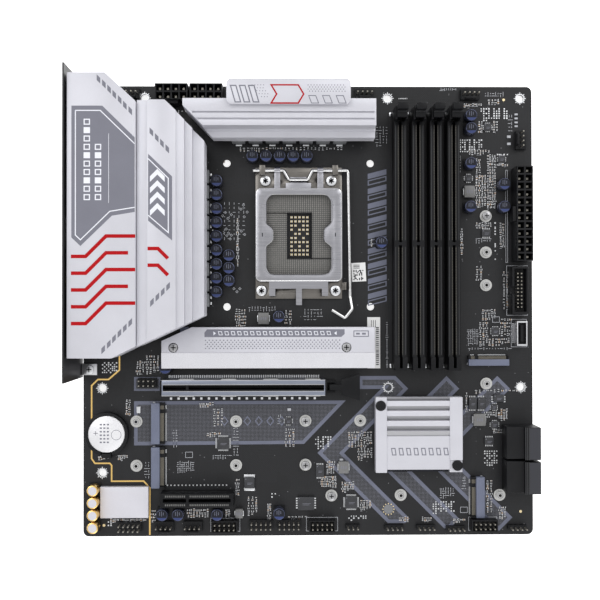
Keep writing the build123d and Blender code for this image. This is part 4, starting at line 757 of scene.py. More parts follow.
def makePlateArt():
    bm = bmesh.new()
    low, high = plate["top"], plate["top"] + 0.05
    for start in (81.2, 85.8, 90.4):
        addFrame(bm, slanted(start, 7.4, 3.4, 9.0, 2.6), 0.6, 0, low, high)
    addFrame(bm, [(101.6, 7.0), (116.2, 7.0), (119.2, 12.0), (116.2, 17.0), (101.6, 17.0), (104.6, 12.0)],
             0.75, 2, low, high)
    for start in (121.0, 128.0, 135.0):
        addFrame(bm, slanted(start, 12.6, 4.0, 4.2, 1.6), 0.4, 0, low, high)
    side = plate["dot"] / 2
    for row in range(5):
        for column in range(5):
            u, v = 92.6 + 1.46 * column + 1.2 * row, 7.4 + 1.5 * row
            if column <= 4 - row * 0.3:
                addPrism(bm, rect(u - side, v - side, u + side, v + side), low, high, 0)
    for row in range(4):
        for column in range(13):
            u, v = 121.0 + 1.5 * column + 0.75 * (row % 2), 7.4 + 1.05 * row
            addPrism(bm, lozenge(u, v, 0.34), low, high, 0)
    makePrint(bm, "plate_print", [printGrey, printPale, printRed])


makePlateArt()

m2Sink = {"u": (43.2, 157.2), "v": (130.7, 152.7), "cut": (16.1, 7.3), "low": 5.4, "top": 9.4, "bend": 144.4,
          "footTop": 8.4, "screws": [(49.6, 141.6), (141.9, 141.6)], "well": 2.6}


def makeStorageSink():
    bm = bmesh.new()
    u0, u1 = m2Sink["u"]
    v0, v1 = m2Sink["v"]
    bend, top = m2Sink["bend"], m2Sink["top"]
    addPrism(bm, [(u0, v0 + m2Sink["cut"][1]), (u0 + m2Sink["cut"][0], v0), (u1, v0), (u1, bend), (u0, bend)],
             m2Sink["low"], top, 0, 0.35)
    # the strip towards the foot slopes down
    verts = [bm.verts.new(at(u, v, h)) for u in (u0, u1)
             for v, h in ((bend - 0.01, m2Sink["low"]), (v1, m2Sink["low"]), (v1, m2Sink["footTop"]),
                          (bend - 0.01, top - 0.02))]
    for face in ((0, 1, 2, 3), (7, 6, 5, 4), (0, 4, 5, 1), (1, 5, 6, 2), (2, 6, 7, 3), (3, 7, 4, 0)):
        bm.faces.new([verts[k] for k in face]).material_index = 1
    bmesh.ops.recalc_face_normals(bm, faces=bm.faces)
    # a dark disc round each screw stands for the shade in its well: painted shade
    for place in m2Sink["screws"]:
        addPost(bm, place, m2Sink["well"], top - 0.02, top, 2, 32)
    makePiece(bm, "m2_heatsink_shell", [silverCoat, silverEdge, canDark], "board", ("m2_heatsink",))
    bm = bmesh.new()
    low, high = top, top + 0.05
    addPrism(bm, [(67.6, 131.9), (140.9, 131.9), (140.9, 134.4), (139.2, 136.0), (66.2, 136.0),
                  (66.2, 133.6)], low, high, 0)
    for k in range(18):
        u = 73.4 + 3.4 * k
        addFrame(bm, slanted(u, 132.9, 2.0, 2.1, 0.5), 0.32, 1, high, high + 0.03)
    addPrism(bm, [(71.0, 133.0), (72.3, 134.0), (71.0, 135.0)], high, high + 0.03, 1)
    addPrism(bm, [(136.6, 133.0), (135.3, 134.0), (136.6, 135.0)], high, high + 0.03, 1)
    for row in range(5):
        for column in range(38):
            u, v = 66.8 + 1.93 * column + 0.96 * (row % 2), 137.7 + 1.08 * row
            if u < 138.4:
                addPrism(bm, lozenge(u, v, 0.42), low, high, 0)
    addFrame(bm, rect(145.6, 132.6, 153.8, 136.0), 0.45, 0, low, high)
    addBox(bm, (147.0, 149.0), (133.8, 134.8), (low, high), 0)
    addBox(bm, (150.2, 152.2), (133.8, 134.8), (low, high), 0)
    makePrint(bm, "m2_print", [printGrey, printPale])


makeStorageSink()

chipSink = {"u": (157.4, 204.0), "v": (168.3, 208.6), "low": 2.6, "top": 9.2, "fins": (163.5, 197.1),
            "ridges": [(168.5, 170.2), (173.0, 175.5), (178.35, 180.85), (183.7, 186.2)], "dip": 2.6,
            "lastSlope": (186.5, 189.1), "blockTop": 8.6, "foot": 207.0, "ledge": 5.2,
            "pins": [(160.2, 172.9), (201.2, 204.9)]}


def makeChipSink():
    bm = bmesh.new()
    u0, u1 = chipSink["u"]
    v0, v1 = chipSink["v"]
    low, top = chipSink["low"], chipSink["top"]
    f0, f1 = chipSink["fins"]
    addBox(bm, (u0, f0), (v0 + 6.4, v1), (low, top), 0, 0.3)
    addBox(bm, (u0, f0), (v0, v0 + 6.6), (low, top - 0.4), 0, 0.3)
    addBox(bm, (f1, u1), (v0, v1 - 6.6), (low, top), 0, 0.3)
    addBox(bm, (f1, u1), (v1 - 6.8, v1), (low, top - 1.2), 0, 0.3)
    # the ledge showing at the foot of the louvred field is dark: painted shade in the undercut
    addBox(bm, (f0 - 0.1, f1 + 0.1), (v0, v1), (low, chipSink["ledge"]), 2)
    # a louvred field: each ridge rises gently to a bright lip, then drops; the steep drop faces get a darker
    # silver, a painted shade
    profile = [(v0, chipSink["ledge"]), (v0, top - 0.3)]
    for start, end in chipSink["ridges"]:
        profile += [(start, top), (end, top - chipSink["dip"]), (end + 0.1, top - 0.5)]
    slope, block = chipSink["lastSlope"], chipSink["blockTop"]
    profile += [(slope[0], top - 0.1), (slope[1], block - 0.6), (slope[1] + 0.1, block),
                (chipSink["foot"], block), (chipSink["foot"], chipSink["ledge"])]
    sides = [[bm.verts.new(at(u, v, h)) for v, h in profile] for u in (f0, f1)]
    for k in range(len(profile)):
        j = (k + 1) % len(profile)
        face = bm.faces.new([sides[0][k], sides[0][j], sides[1][j], sides[1][k]])
        drop = profile[k][1] - profile[j][1]
        face.material_index = 3 if drop > 1.0 and k < len(profile) - 3 else 0
    bm.faces.new(sides[0])
    bm.faces.new(sides[1][::-1])
    bmesh.ops.recalc_face_normals(bm, faces=bm.faces)
    for k in range(8):
        u = 165.6 + 4.0 * k
        addFrame(bm, slanted(u, 195.4, 2.4, 4.0, 0.6), 0.5, 1, block, block + 0.05)
    makePiece(bm, "chipset_heatsink_shell", [silverCoat, printGrey, canDark, silverPaintedShade], "board",
              ("chipset_heatsink",), merge=False, smooth=False)
    bm = bmesh.new()
    for place in chipSink["pins"]:
        addPost(bm, place, 2.8, 4.2, 9.5, 0, 32, bevel=0.4)
        addBlock(bm, place, (0.7, 3.6), 9.5, 9.6, 0)
        addPost(bm, place, 1.5, -2.8, 4.2, 0, 16)
        addPost(bm, place, 2.1, -3.0, -2.0, 0, 16)
    makePiece(bm, "push_pin_caps", [blackPlastic], "board", ("chipset_push_pins",))


makeChipSink()
print("heatsinks made")


cans = {
    "places": [(72.4, 52.2 + 7.45 * k) for k in range(9)] + [(79.0, 92.2), (79.0, 99.0), (79.0, 105.8)]
    + [(91.7 + 7.3 * k, 39.0) for k in range(5)] + [(161.1, 85.3), (105.8, 125.1), (45.0, 152.6)]
    + [(209.5, 16.9), (209.5, 23.9), (209.3, 42.7), (209.1, 66.1), (227.4, 53.9), (227.4, 66.1)]
    + [(43.2, 231.0), (51.7, 231.0), (72.6, 231.0), (105.8, 230.6)],
    "radius": 3.15, "foot": 0.9, "top": 7.72, "face": 2.78, "cut": 1.35}


def makeCapacitors():
    bm = bmesh.new()
    radius, face, cut, top = cans["radius"], cans["face"], cans["cut"], cans["top"]
    start = math.asin(cut / face)
    dark = [math.pi - start + (math.pi + 2 * start) * k / 20 for k in range(21)]
    blue = [start + (math.pi - 2 * start) * k / 10 for k in range(11)]
    for u, v in cans["places"]:
        addPrism(bm, [(u - 3.15, v - 3.15), (u + 3.15, v - 3.15), (u + 3.15, v + 2.1), (u + 2.1, v + 3.15),
                      (u - 2.1, v + 3.15), (u - 3.15, v + 2.1)], 0.0, cans["foot"], 0)
        addPost(bm, (u, v), radius - 0.12, cans["foot"], cans["foot"] + 0.7, 1, 28)
        addPost(bm, (u, v), radius, cans["foot"] + 0.6, top, 1, 28, bevel=0.38)
        addPrism(bm, [(u + face * math.cos(t), v + face * math.sin(t)) for t in dark], top, top + 0.05, 2)
        addPrism(bm, [(u + face * math.cos(t), v + face * math.sin(t)) for t in blue], top, top + 0.05, 3)
        for shift, length in ((-1.1, 2.0), (-0.1, 2.6), (0.9, 1.6)):
            addBlock(bm, (u + shift, v - 0.8), (0.3, length), top + 0.05, top + 0.08, 4)
    makePiece(bm, "capacitor_cans", [blackPlastic, canMetal, canDark, blueInk, silkBand], "board",
              ("capacitors",), merge=False)


makeCapacitors()

power = {"rear": [(63.4, 49.9 + 8.3 * k) for k in range(9)],
         "top": [(84.2 + 9.1 * k, 26.6) for k in range(7)]}


def makeChokeTabs():
    bm = bmesh.new()
    for u, v in power["rear"]:
        for shift in (-1.6, 1.6):
            addBlock(bm, (u + 5.5, v + shift), (1.1, 1.5), 0.0, 1.1, 0, 0.15)
    for u, v in power["top"]:
        addBlock(bm, (u, v + 5.5), (3.4, 1.1), 0.0, 1.1, 0, 0.15)
    makePiece(bm, "choke_tabs", [tin])


makeChokeTabs()
softened("chokes", 0.5, [ferrite])

coils = [(209.2, 57.6, 6.6, 6.6), (214.3, 181.2, 7.4, 6.6), (140.6, 206.6, 6.4, 6.6), (84.2, 231.3, 5.0, 5.0),
         (97.5, 126.2, 6.8, 6.4)]


def makeCoils():
    bm = bmesh.new()
    for u, v, length, width in coils:
        addBlock(bm, (u, v), (length - 0.7, width), 0.2, 3.6, 0, 0.5)
        for side in (-1, 1):
            addBlock(bm, (u + side * (length / 2 - 0.5), v), (1.0, width * 0.55), 0.0, 2.2, 1, 0.15)
        for shift in (-1.2, 0.0, 1.2):
            addBlock(bm, (u + shift, v), (0.5, 1.6), 3.6, 3.63, 2)
    makePiece(bm, "coil_blocks", [coilGrey, tin, printGrey], "board", ("inductors",), merge=False)


makeCoils()

chipSet = [(75.5, 193.7, 6.6, 6.6, 1.4, "quad"), (144.8, 225.9, 6.6, 6.6, 1.4, "quad"),
           (120.3, 226.3, 9.0, 7.2, 1.8, "sides"), (89.7, 215.0, 5.4, 5.8, 2.2, "tabs"),
           (127.9, 208.9, 4.4, 6.6, 1.0, "ends"), (210.8, 172.5, 4.2, 6.4, 2.4, "ends"),
           (215.6, 172.5, 4.2, 6.4, 2.4, "ends"), (225.1, 169.7, 5.8, 3.8, 2.0, "sides"),
           (222.6, 174.5, 3.4, 3.4, 0.9, "dots"), (222.9, 184.2, 4.2, 4.2, 0.9, "dots"),
           (219.9, 193.1, 5.0, 3.9, 1.4, "ends"), (219.7, 22.2, 4.2, 4.2, 0.9, "dots"),
           (227.3, 39.6, 4.0, 4.0, 0.9, "dots"), (209.1, 50.0, 4.0, 4.0, 0.9, "dots"),
           (218.7, 79.9, 5.0, 3.9, 1.4, "ends"), (223.5, 133.3, 4.4, 4.4, 0.9, "dots"),
           (110.8, 181.8, 4.0, 4.0, 0.9, "dots")]


def leadShifts(edge, pitch):
    # where the leads sit along one edge of a package
    fit = int((edge - 0.8) / pitch)
    return [(k - (fit - 1) / 2) * pitch for k in range(max(3, fit))]


def makeChips():
    bm = bmesh.new()
    for u, v, length, width, height, kind in chipSet:
        addBlock(bm, (u, v), (length, width), 0.1, height, 0, 0.12)
        addPost(bm, (u - length / 2 + 0.8, v - width / 2 + 0.8), 0.25, height, height + 0.02, 2, 10)
        addBlock(bm, (u + 0.3, v), (length * 0.5, 0.2), height, height + 0.02, 2)
        addBlock(bm, (u, v + 0.7), (length * 0.4, 0.2), height, height + 0.02, 2)
        if kind in ("quad", "sides", "dots"):
            pitch = 0.5 if kind == "quad" else 1.27 if kind == "sides" else 0.9
            reach = 0.9 if kind != "dots" else 0.4
            for side in (-1, 1):
                out = side * (length / 2 + reach / 2)
                for shift in leadShifts(width, pitch):
                    addBlock(bm, (u + out, v + shift), (reach, pitch * 0.55), 0.0, 0.35, 1)
                if kind != "sides":
                    out = side * (width / 2 + reach / 2)
                    for shift in leadShifts(length, pitch):
                        addBlock(bm, (u + shift, v + out), (pitch * 0.55, reach), 0.0, 0.35, 1)
        elif kind == "tabs":
            for side in (-1, 1):
                addBlock(bm, (u, v + side * (width / 2 + 0.7)), (5.8, 1.6), 0.0, 0.9, 1, 0.1)
        else:
            for side in (-1, 1):
                for k in range(4):
                    addBlock(bm, (u + (k - 1.5) * length / 4.4, v + side * (width / 2 + 0.4)), (0.5, 0.9),
                             0.0, 0.4, 1)
    makePiece(bm, "chip_packages", [chipEpoxy, tin, printGrey], "board", ("chips",), merge=False)


makeChips()
print("capacitors, coils and chips made")

socket = {"middle": (116.6, 80.9), "field": ((98.4, 134.8), (59.0, 102.8)),
          "well": ((110.7, 123.3), (69.4, 93.6)), "headLow": 1.6, "headTop": 3.3,
          "screws": [(98.6, 51.8), (134.2, 51.8), (96.4, 111.2), (136.4, 111.2)],
          "bare": ((1, 3), (2, 5), (1, 7), (3, 7), (0, 4), (3, 4), (4, 5), (2, 2))}


def makeSocket():
    bm = bmesh.new()
    (u0, u1), (v0, v1) = socket["field"]
    (w0, w1), (x0, x1) = socket["well"]
    for spanU, spanV in (((u0, w0), (v0, v1)), ((w1, u1), (v0, v1)), ((w0, w1), (v0, x0)),
                         ((w0, w1), (x1, v1))):
        addBox(bm, spanU, spanV, (1.6, 2.5), 0)
    for spanU, spanV in (((w0 - 0.5, w0), (x0 - 0.5, x1 + 0.5)), ((w1, w1 + 0.5), (x0 - 0.5, x1 + 0.5)),
                         ((w0, w1), (x0 - 0.5, x0)), ((w0, w1), (x1, x1 + 0.5)), ((u0, w0), (x0 - 0.4, x0)),
                         ((w1, u1), (x1, x1 + 0.4))):
        addBox(bm, spanU, spanV, (2.4, 3.0), 1)
    makePrint(bm, "socket_contacts", [socketField, blackPlastic])
    bm = bmesh.new()
    for column in range(5):
        for row in range(10):
            if (column, row) in socket["bare"]:
                continue
            u, v = w0 + 2.0 + 2.15 * column, x0 + 1.9 + 2.25 * row
            addBlock(bm, (u, v), (0.5, 1.0), 0.0, 0.7, 1)
            for side in (-0.42, 0.42):
                addBlock(bm, (u + side, v), (0.34, 1.1), 0.0, 0.8, 0)
    makePrint(bm, "socket_capacitors", [paleGold, silkWhite])
    bm = bmesh.new()
    for place in socket["screws"]:
        addPost(bm, place, 2.9, socket["headLow"], socket["headTop"], 0, 32, bevel=0.6)
        addPost(bm, place, 1.5, -3.5, socket["headLow"], 0, 16)
        # the black star on each head stands for the shade in its drive recess: painted shade
        for k in range(3):
            turn = math.pi * k / 3 + 0.4
            out = Vector((math.cos(turn), math.sin(turn))) * 1.5
            side = Vector((-out.y, out.x)).normalized() * 0.38
            middle = Vector(place)
            addPrism(bm, [middle - out - side, middle + out - side, middle + out + side, middle - out + side],
                     socket["headTop"] - 0.1, socket["headTop"] + 0.02, 1)
    makePiece(bm, "socket_screw_heads", [tin, blackPlastic], "board", ("socket_screws",),
              merge=False)


makeSocket()

loadPlate = {"outer": ((93.6, 139.6), (56.4, 106.1)), "outerRadius": 2.8,
             "window": ((98.3, 134.5), (59.6, 102.6)), "windowRadius": 5.6, "ear": 4.6, "earHalf": 3.2,
             "earSlope": 3.4, "earV": 81.2, "top": 6.1}


def cornered(points, radius, steps=5):
    # the outline with every corner rounded, radius may differ by corner
    result = []
    count = len(points)
    for i, corner in enumerate(points):
        here = Vector(corner)
        before = (Vector(points[i - 1]) - here).normalized()
        after = (Vector(points[(i + 1) % count]) - here).normalized()
        first, last = here + before * radius[i], here + after * radius[i]
        for k in range(steps + 1):
            t = k / steps
            result.append(first * (1 - t) ** 2 + here * 2 * t * (1 - t) + last * t ** 2)
    return result


def shifted(points, distance):
    # every point moved inwards by one distance
    result = []
    for i, here in enumerate(points):
        along = points[(i + 1) % len(points)] - points[i - 1]
        result.append(here + Vector((-along.y, along.x)).normalized() * distance)
    return result


def makeLoadPlateFace():
    bm = bmesh.new()
    (u0, u1), (v0, v1) = loadPlate["outer"]
    outline = cornered(rect(u0, v0, u1, v1), [loadPlate["outerRadius"]] * 4)
    (u0, u1), (v0, v1) = loadPlate["window"]
    middle, half, slope, ear = (loadPlate[key] for key in ("earV", "earHalf", "earSlope", "ear"))
    corner = loadPlate["windowRadius"]
    points = [(u0, v0), (u1, v0), (u1, middle - half - slope), (u1 - ear, middle - half),
              (u1 - ear, middle + half), (u1, middle + half + slope), (u1, v1), (u0, v1),
              (u0, middle + half + slope), (u0 + ear, middle + half), (u0 + ear, middle - half),
              (u0, middle - half - slope)]
    window = cornered(points, [corner, corner, 2.6, 1.8, 1.8, 2.6, corner, corner, 2.6, 1.8, 1.8, 2.6])
    top = loadPlate["top"]
    rings = []
    for source, inset, rise in ((outline, 0.0, -0.1), (outline, 0.0, 0.12), (outline, 0.35, 0.3),
                                (window, -1.3, 0.3), (window, -0.75, 0.12), (window, -0.3, 0.12),
                                (window, 0.0, -0.15), (window, 0.0, -1.15)):
        rings.append([bm.verts.new(at(p.x, p.y, top + rise)) for p in shifted(source, inset)])
    for first, last in ((0, 1), (1, 2), (3, 4), (4, 5), (5, 6), (6, 7)):
        count = len(rings[first])
        for k in range(count):
            j = (k + 1) % count
            face = bm.faces.new([rings[first][k], rings[first][j], rings[last][j], rings[last][k]])
            # the rounded outer rim and the lip of the window get the brighter wire steel: a painted highlight
            face.material_index = 1 if (first, last) in ((1, 2), (5, 6)) else 0
    edges = [bm.edges.get((ring[k - 1], ring[k])) for ring in (rings[2], rings[3]) for k in range(len(ring))]
    bmesh.ops.triangle_fill(bm, use_beauty=True, use_dissolve=False, edges=edges)
    bmesh.ops.recalc_face_normals(bm, faces=bm.faces)
    for face in bm.faces:
        if face.normal.z < -0.5:
            face.normal_flip()
    for side in (-1, 1):
        addBlock(bm, (socket["middle"][0] + side * 19.6, loadPlate["earV"]), (0.5, 2.0), top + 0.3,
                 top + 0.32, 2)
    makePiece(bm, "load_plate_face", [plateSteel, wireSteel, canDark], "load_plate",
              merge=False)


makeLoadPlateFace()
softened("load_plate", 0.45, [plateSteel], "load_plate", 3)
softened("socket_frame", 0.15, [frameSteel])
softened("socket_backplate", 0.4, [blackSteel])
print("socket made")

memory = {"first": 170.6, "pitch": 9.55, "rows": (23.4, 145.6), "key": (84.6, 88.2),
          "pegs": [(v, 9.55 * k + 166.4) for v in (15.3, 152.0) for k in range(4)]}


def makeMemorySlots():
    for k in range(4):
        u = memory["first"] + memory["pitch"] * k
        softened(f"dimm_slot_{k + 1}", 0.22, [slotPlastic])
        bm = bmesh.new()
        for side in (-1, 1):
            for low, high in ((memory["rows"][0], memory["key"][0]), (memory["key"][1], memory["rows"][1])):
                addBox(bm, (u + side * 1.0 - 0.22, u + side * 1.0 + 0.22), (low, high), (10.9, 11.54), 0)
                addBox(bm, (u + side * 2.55 - 0.14, u + side * 2.55 + 0.14), (low, high), (11.4, 11.6), 1)
        makePiece(bm, f"dimm_contacts_{k + 1}", [contactStripe, edgeSheen],
                  merge=False, smooth=False)
        softened(f"dimm_latch_{k + 1}", 0.3, [slotPlastic], f"dimm_latch_{k + 1}")
        bm = bmesh.new()
        for rib in range(5):
            low, high = (21.7, 22.1) if rib > 3 else (25.7, 25.96)
            addBlock(bm, (u, 15.0 + 0.72 * rib), (4.9, 0.36), low, high, 0)
        makePiece(bm, f"latch_ribs_{k + 1}", [edgeSheen], f"dimm_latch_{k + 1}",
                  merge=False, smooth=False)
    bm = bmesh.new()
    for v, u in memory["pegs"]:
        addBlock(bm, (u, v), (1.1, 2.2), 0.0, 1.4, 0, 0.3)
    makePiece(bm, "slot_pegs", [tin])


makeMemorySlots()
print("memory slots made")

express = {"u": 42.7, "long": (88.7, 162.9), "short": (39.0, 222.6), "height": 11.25}


def makeExpansionSlots():
    softened("slot_armor", 0.16, [armorSteel])
    softened("long_expansion_slot", 0.15, [slotPlastic])
    softened("short_expansion_slot", 0.2, [slotPlastic])
    softened("slot_latch", 0.3, [slotPlastic], "slot_latch")
    bm = bmesh.new()
    start = express["u"]
    length, v = express["long"]
    top = express["height"] + 0.5
    # bright strips along the steel cover's folds and on its solder tabs: a painted highlight
    for side in (-1, 1):
        for inset, away, half in ((1.0, 4.1, 0.12), (1.6, 1.75, 0.1)):
            fold = v + side * away
            addBox(bm, (start + inset, start + length - inset), (fold - half, fold + half),
                   (top, top + 0.06), 1)
        for k in range(4):
            u = start + 10.0 + 22.4 * k
            addBox(bm, (u, u + 8.0), (v + side * 4.4 - 0.2, v + side * 4.4 + 0.2), (4.0, top - 1.0), 1)
    for k in range(82):
        addBlock(bm, (start + 3.6 + k, v - 5.3), (0.42, 1.5), 0.0, 0.3, 0)
    for k in range(20):
        addBlock(bm, (start + 4.6 + 4.1 * k, v + 6.6), (1.2, 1.2), 0.0, 0.12, 0)
    length, v = express["short"]
    top = express["height"]
    for k in range(17):
        addBlock(bm, (start + 2.6 + 2.0 * k, v - 6.2), (0.7, 0.7), 0.0, 0.14, 0)
    makePrint(bm, "slot_solder_rows", [tin, armorPaintedHighlight])
    bm = bmesh.new()
    for low, high in ((start + 2.4, start + 13.4), (start + 15.6, start + length - 2.4)):
        for side in (-1, 1):
            addBox(bm, (low, high), (v + side * 2.3 - 0.5, v + side * 2.3 + 0.5), (top - 0.3, top + 0.03), 0)
    makePrint(bm, "short_slot_contacts", [contactStripeAcross])


makeExpansionSlots()

storage = {"sockets": [((41.0, 182.6), 0), ((41.0, 206.4), 0), ((56.5, 141.6), 0), ((219.3, 148.9), 90),
                       ((212.8, 223.1), 180)],
           "boardScrews": [(120.1, 181.7), (120.1, 205.5), (218.5, 70.7), (134.1, 222.2)],
           "sinkScrews": [(49.6, 141.6), (141.9, 141.6)]}


def makeStorageSockets():
    bm = bmesh.new()

    def part(spot, turn, along, across, heights, mat, bevel=0.0):
        # along runs from the plastic back towards the card, across runs down the socket
        u, v = spot
        if turn == 0:
            addBox(bm, (u + along[0], u + along[1]), (v + across[0], v + across[1]), heights, mat, bevel)
        elif turn == 180:
            addBox(bm, (u - along[1], u - along[0]), (v + across[0], v + across[1]), heights, mat, bevel)
        else:
            addBox(bm, (u + across[0], u + across[1]), (v - along[1] * 0.75, v - along[0] * 0.75), heights,
                   mat, bevel)

    for spot, turn in storage["sockets"]:
        part(spot, turn, (-4.0, 0.6), (-11.0, 11.0), (0.0, 4.2), 0, 0.25)
        part(spot, turn, (0.4, 3.2), (-11.0, 11.0), (0.0, 1.9), 2)
        part(spot, turn, (0.4, 3.2), (-11.0, -10.2), (1.9, 3.4), 2)
        part(spot, turn, (0.4, 3.2), (10.2, 11.0), (1.9, 3.4), 2)
        for k in range(37):
            if 4 <= k <= 7:
                continue
            across = -9.4 + 0.52 * k
            part(spot, turn, (0.6, 2.7), (across, across + 0.26), (1.9, 2.15), 1)
            part(spot, turn, (3.2, 4.0), (across, across + 0.28), (0.0, 0.4), 3)
        for across in (-11.3, 10.3):
            part(spot, turn, (-3.4, -2.2), (across, across + 1.0), (0.0, 0.5), 3)
    makePiece(bm, "m2_socket_shells", [greyPlastic, dullGold, blackPlastic, tin], "board", ("m2_sockets",),
              merge=False)
    bm = bmesh.new()
    for place in storage["boardScrews"]:
        addPost(bm, place, 2.3, 2.6, 3.6, 0, 28, bevel=0.35)
        addPost(bm, place, 0.83, 0.4, 2.6, 0, 12)
        # the black cross on each head stands for the shade in its drive recess: painted shade
        addCross(bm, place, 2.4, 0.5, 3.55, 3.62, 1)
    for place in storage["sinkScrews"]:
        addPost(bm, place, 2.3, 8.6, 9.8, 0, 28, bevel=0.35)
        addPost(bm, place, 0.83, 2.4, 8.6, 0, 12)
        # the black cross on each head stands for the shade in its drive recess: painted shade
        addCross(bm, place, 2.8, 0.55, 9.78, 9.84, 1)
    makePiece(bm, "m2_screw_heads", [screwSteel, blackPlastic], "board", ("m2_screws",),
              merge=False)


makeStorageSockets()

posts = {"places": [(82.5, 181.9), (82.5, 205.6), (149.8, 181.7), (28.7, 181.8), (28.7, 205.7),
                    (218.5, 90.4), (218.5, 108.3), (218.5, 161.8), (171.7, 222.1), (225.5, 222.3)],
         "top": 2.6, "ring": 1.45, "ringWidth": 0.55, "shieldScrew": (3.4, 153.6)}


def makePostRings():
    bm = bmesh.new()
    for u, v in posts["places"]:
        ring = circle(u, v, posts["ring"], 24)
        addStroke(bm, ring, posts["ringWidth"], posts["top"], posts["top"] + 0.04, 0, closed=True)
    makePrint(bm, "post_rings", [screwSteel])
    # a bright tab under the head of the shield's screw
    bm = bmesh.new()
    place = posts["shieldScrew"]
    addBlock(bm, place, (8.2, 6.0), 0.78, 1.0, 0, 0.1)
    addPost(bm, place, 2.5, 1.0, 2.4, 1, 28, bevel=0.4)
    # the black cross stands for the shade in the drive recess: painted shade
    addCross(bm, place, 2.8, 0.6, 2.38, 2.44, 2)
    makePiece(bm, "shield_screw_head", [portSteel, tin, blackPlastic], "board", ("shield_screw",),
              merge=False)


makePostRings()
print("expansion and storage sockets made")

for node, width in (("main_power_socket", 0.25), ("cpu_power_sockets", 0.25), ("drive_ports", 0.3),
                    ("usb_header", 0.2), ("pin_headers", 0.15), ("fan_sockets", 0.2),
                    ("battery_holder", 0.3)):
    softened(node, width, [blackPlastic])
softened("usb_c_header", 0.12, [portSteel])
softened("audio_shield", 0.3, [whitePaint])

panel = {"cColumn": (233.64, 239.24, 127.8, 141.0),
         "drive": [(184.0, 201.2), (202.3, 219.3)], "driveFront": 244.44}


def makePanelDetails():
    bm = bmesh.new()
    u0, u1, v0, v1 = panel["cColumn"]
    addBox(bm, (u0 + 0.7, u1 - 0.7), (v0 + 0.7, v1 - 0.7), (1.6, 4.4), 0)
    addBox(bm, (u0 + 2.1, u1 - 2.1), (v0 + 2.2, v1 - 2.2), (4.4, 6.9), 0)
    for k in range(10):
        addBlock(bm, (u0 - 0.5, v0 + 1.6 + 1.1 * k), (1.0, 0.4), 0.0, 0.3, 1)
        addBlock(bm, (u1 + 0.5, v0 + 1.6 + 1.1 * k), (1.0, 0.4), 0.0, 0.3, 1)
    for v in (v0 + 0.4, v1 - 0.4):
        addBlock(bm, ((u0 + u1) / 2, v), (4.2, 0.8), 7.2, 7.65, 1)
    for low, high in panel["drive"]:
        for u in (panel["driveFront"] - 8.4, panel["driveFront"] - 7.4, panel["driveFront"] - 6.4):
            addBox(bm, (u, u + 0.35), (low, high), (15.0, 15.12), 2)
        addBox(bm, (panel["driveFront"] - 6.0, panel["driveFront"] - 0.3), (low + 0.3, high - 0.3),
               (15.0, 15.08), 3)
    makePrint(bm, "panel_details", [blackPlastic, tin, edgeSheen, collarGrey])


makePanelDetails()

rear = {"towers": [12.0, 28.4, 63.4, 81.4], "mouths": [1.6, 9.2], "columns": [118.6, 131.0],
        "rows": [5.8, 17.4, 29.0], "jackFace": -3.4, "jackInks": [1, 2, 3, 5, 0, 4],
        "half": 5.4, "blueBelow": 60, "displays": 45.9, "network": 81.4}


def makeRearDetails():
    bm = bmesh.new()
    half, display, network = rear["half"], rear["displays"], rear["network"]
    for v in rear["towers"]:
        for low in rear["mouths"]:
            ink = 0 if v < rear["blueBelow"] else 1
            addBox(bm, (-1.9, 6.2), (v - half, v + half), (low + 2.9, low + 4.6), ink)
            for k in range(4):
                addBlock(bm, (-1.2, v - 3.6 + 2.4 * k), (1.2, 1.2), low + 2.8, low + 2.9, 3)
    for heights in ((4.2, 5.2), (14.4, 16.0)):
        addBox(bm, (-1.9, 6.0), (display - half, display + half), heights, 2)
    for side, lamp in ((-1, 4), (1, 5)):
        middle = network + side * 7.0
        addBox(bm, (-2.7, -2.3), (middle - 0.9, middle + 0.9), (27.4, 28.8), lamp)
    for k in range(8):
        contact = network - 4.0 + 1.14 * k
        addBox(bm, (1.0, 6.0), (contact, contact + 0.4), (25.6, 26.0), 3)
    makePrint(bm, "rear_details", [blueInk, printRed, blackPlastic, paleGold, signalGreen, signalAmber])


makeRearDetails()
for node in ("usb_ports", "display_ports", "network_port"):
    softened(node, 0.2, [portSteel])


def makeJacks():
    bm = bmesh.new()
    bm.from_mesh(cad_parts["audio_jacks"].data)
    bmesh.ops.remove_doubles(bm, verts=bm.verts, dist=1e-6)
    faceU = at(rear["jackFace"], 0, 0).x
    for face in bm.faces:
        if max(vert.co.x for vert in face.verts) > faceU + 0.0001:
            continue
        middle = face.calc_center_median()
        places = [at(rear["jackFace"], v, h) for v in rear["columns"] for h in rear["rows"]]
        nearest = min(range(len(places)), key=lambda k: (places[k] - middle).length)
        face.material_index = rear["jackInks"][nearest]
    makePiece(bm, "jack_noses", [blackPlastic, blueInk, jackGreen, jackPink, signalAmber, ferrite], "board",
              ("audio_jacks",))


makeJacks()


cell = {"middle": (13.1, 188.2), "radius": 9.9, "low": 1.0, "top": 4.12, "ink": 0.03}


def makeBatteryFace():
    bm = bmesh.new()
    addPost(bm, cell["middle"], cell["radius"], cell["low"], cell["top"], 0, 64, bevel=0.5)
    # a plus sign, a field of dots and a ring
    heights = (cell["top"], cell["top"] + cell["ink"])
    addBox(bm, (6.2, 8.6), (187.5, 187.8), heights, 1)
    addBox(bm, (7.25, 7.55), (186.5, 188.8), heights, 1)
    for k in range(3):
        for step in range(6):
            u, v = 9.6 + 1.9 * k, 182.6 + 1.9 * step
            addBox(bm, (u, u + 1.1), (v, v + 0.8), heights, 1)
    addRing(bm, (18.4, 188.6), 2.5, 2.75, 28, *heights, 1)
    makePiece(bm, "battery_face", [cellSteel, printGrey], "board", ("battery_cell",), merge=False)


makeBatteryFace()


audioCans = {"u": 6.5, "rows": (217.8, 224.4, 231.0, 237.6), "base": 6.0, "foot": 1.0, "radius": 3.0,
             "top": 8.5}


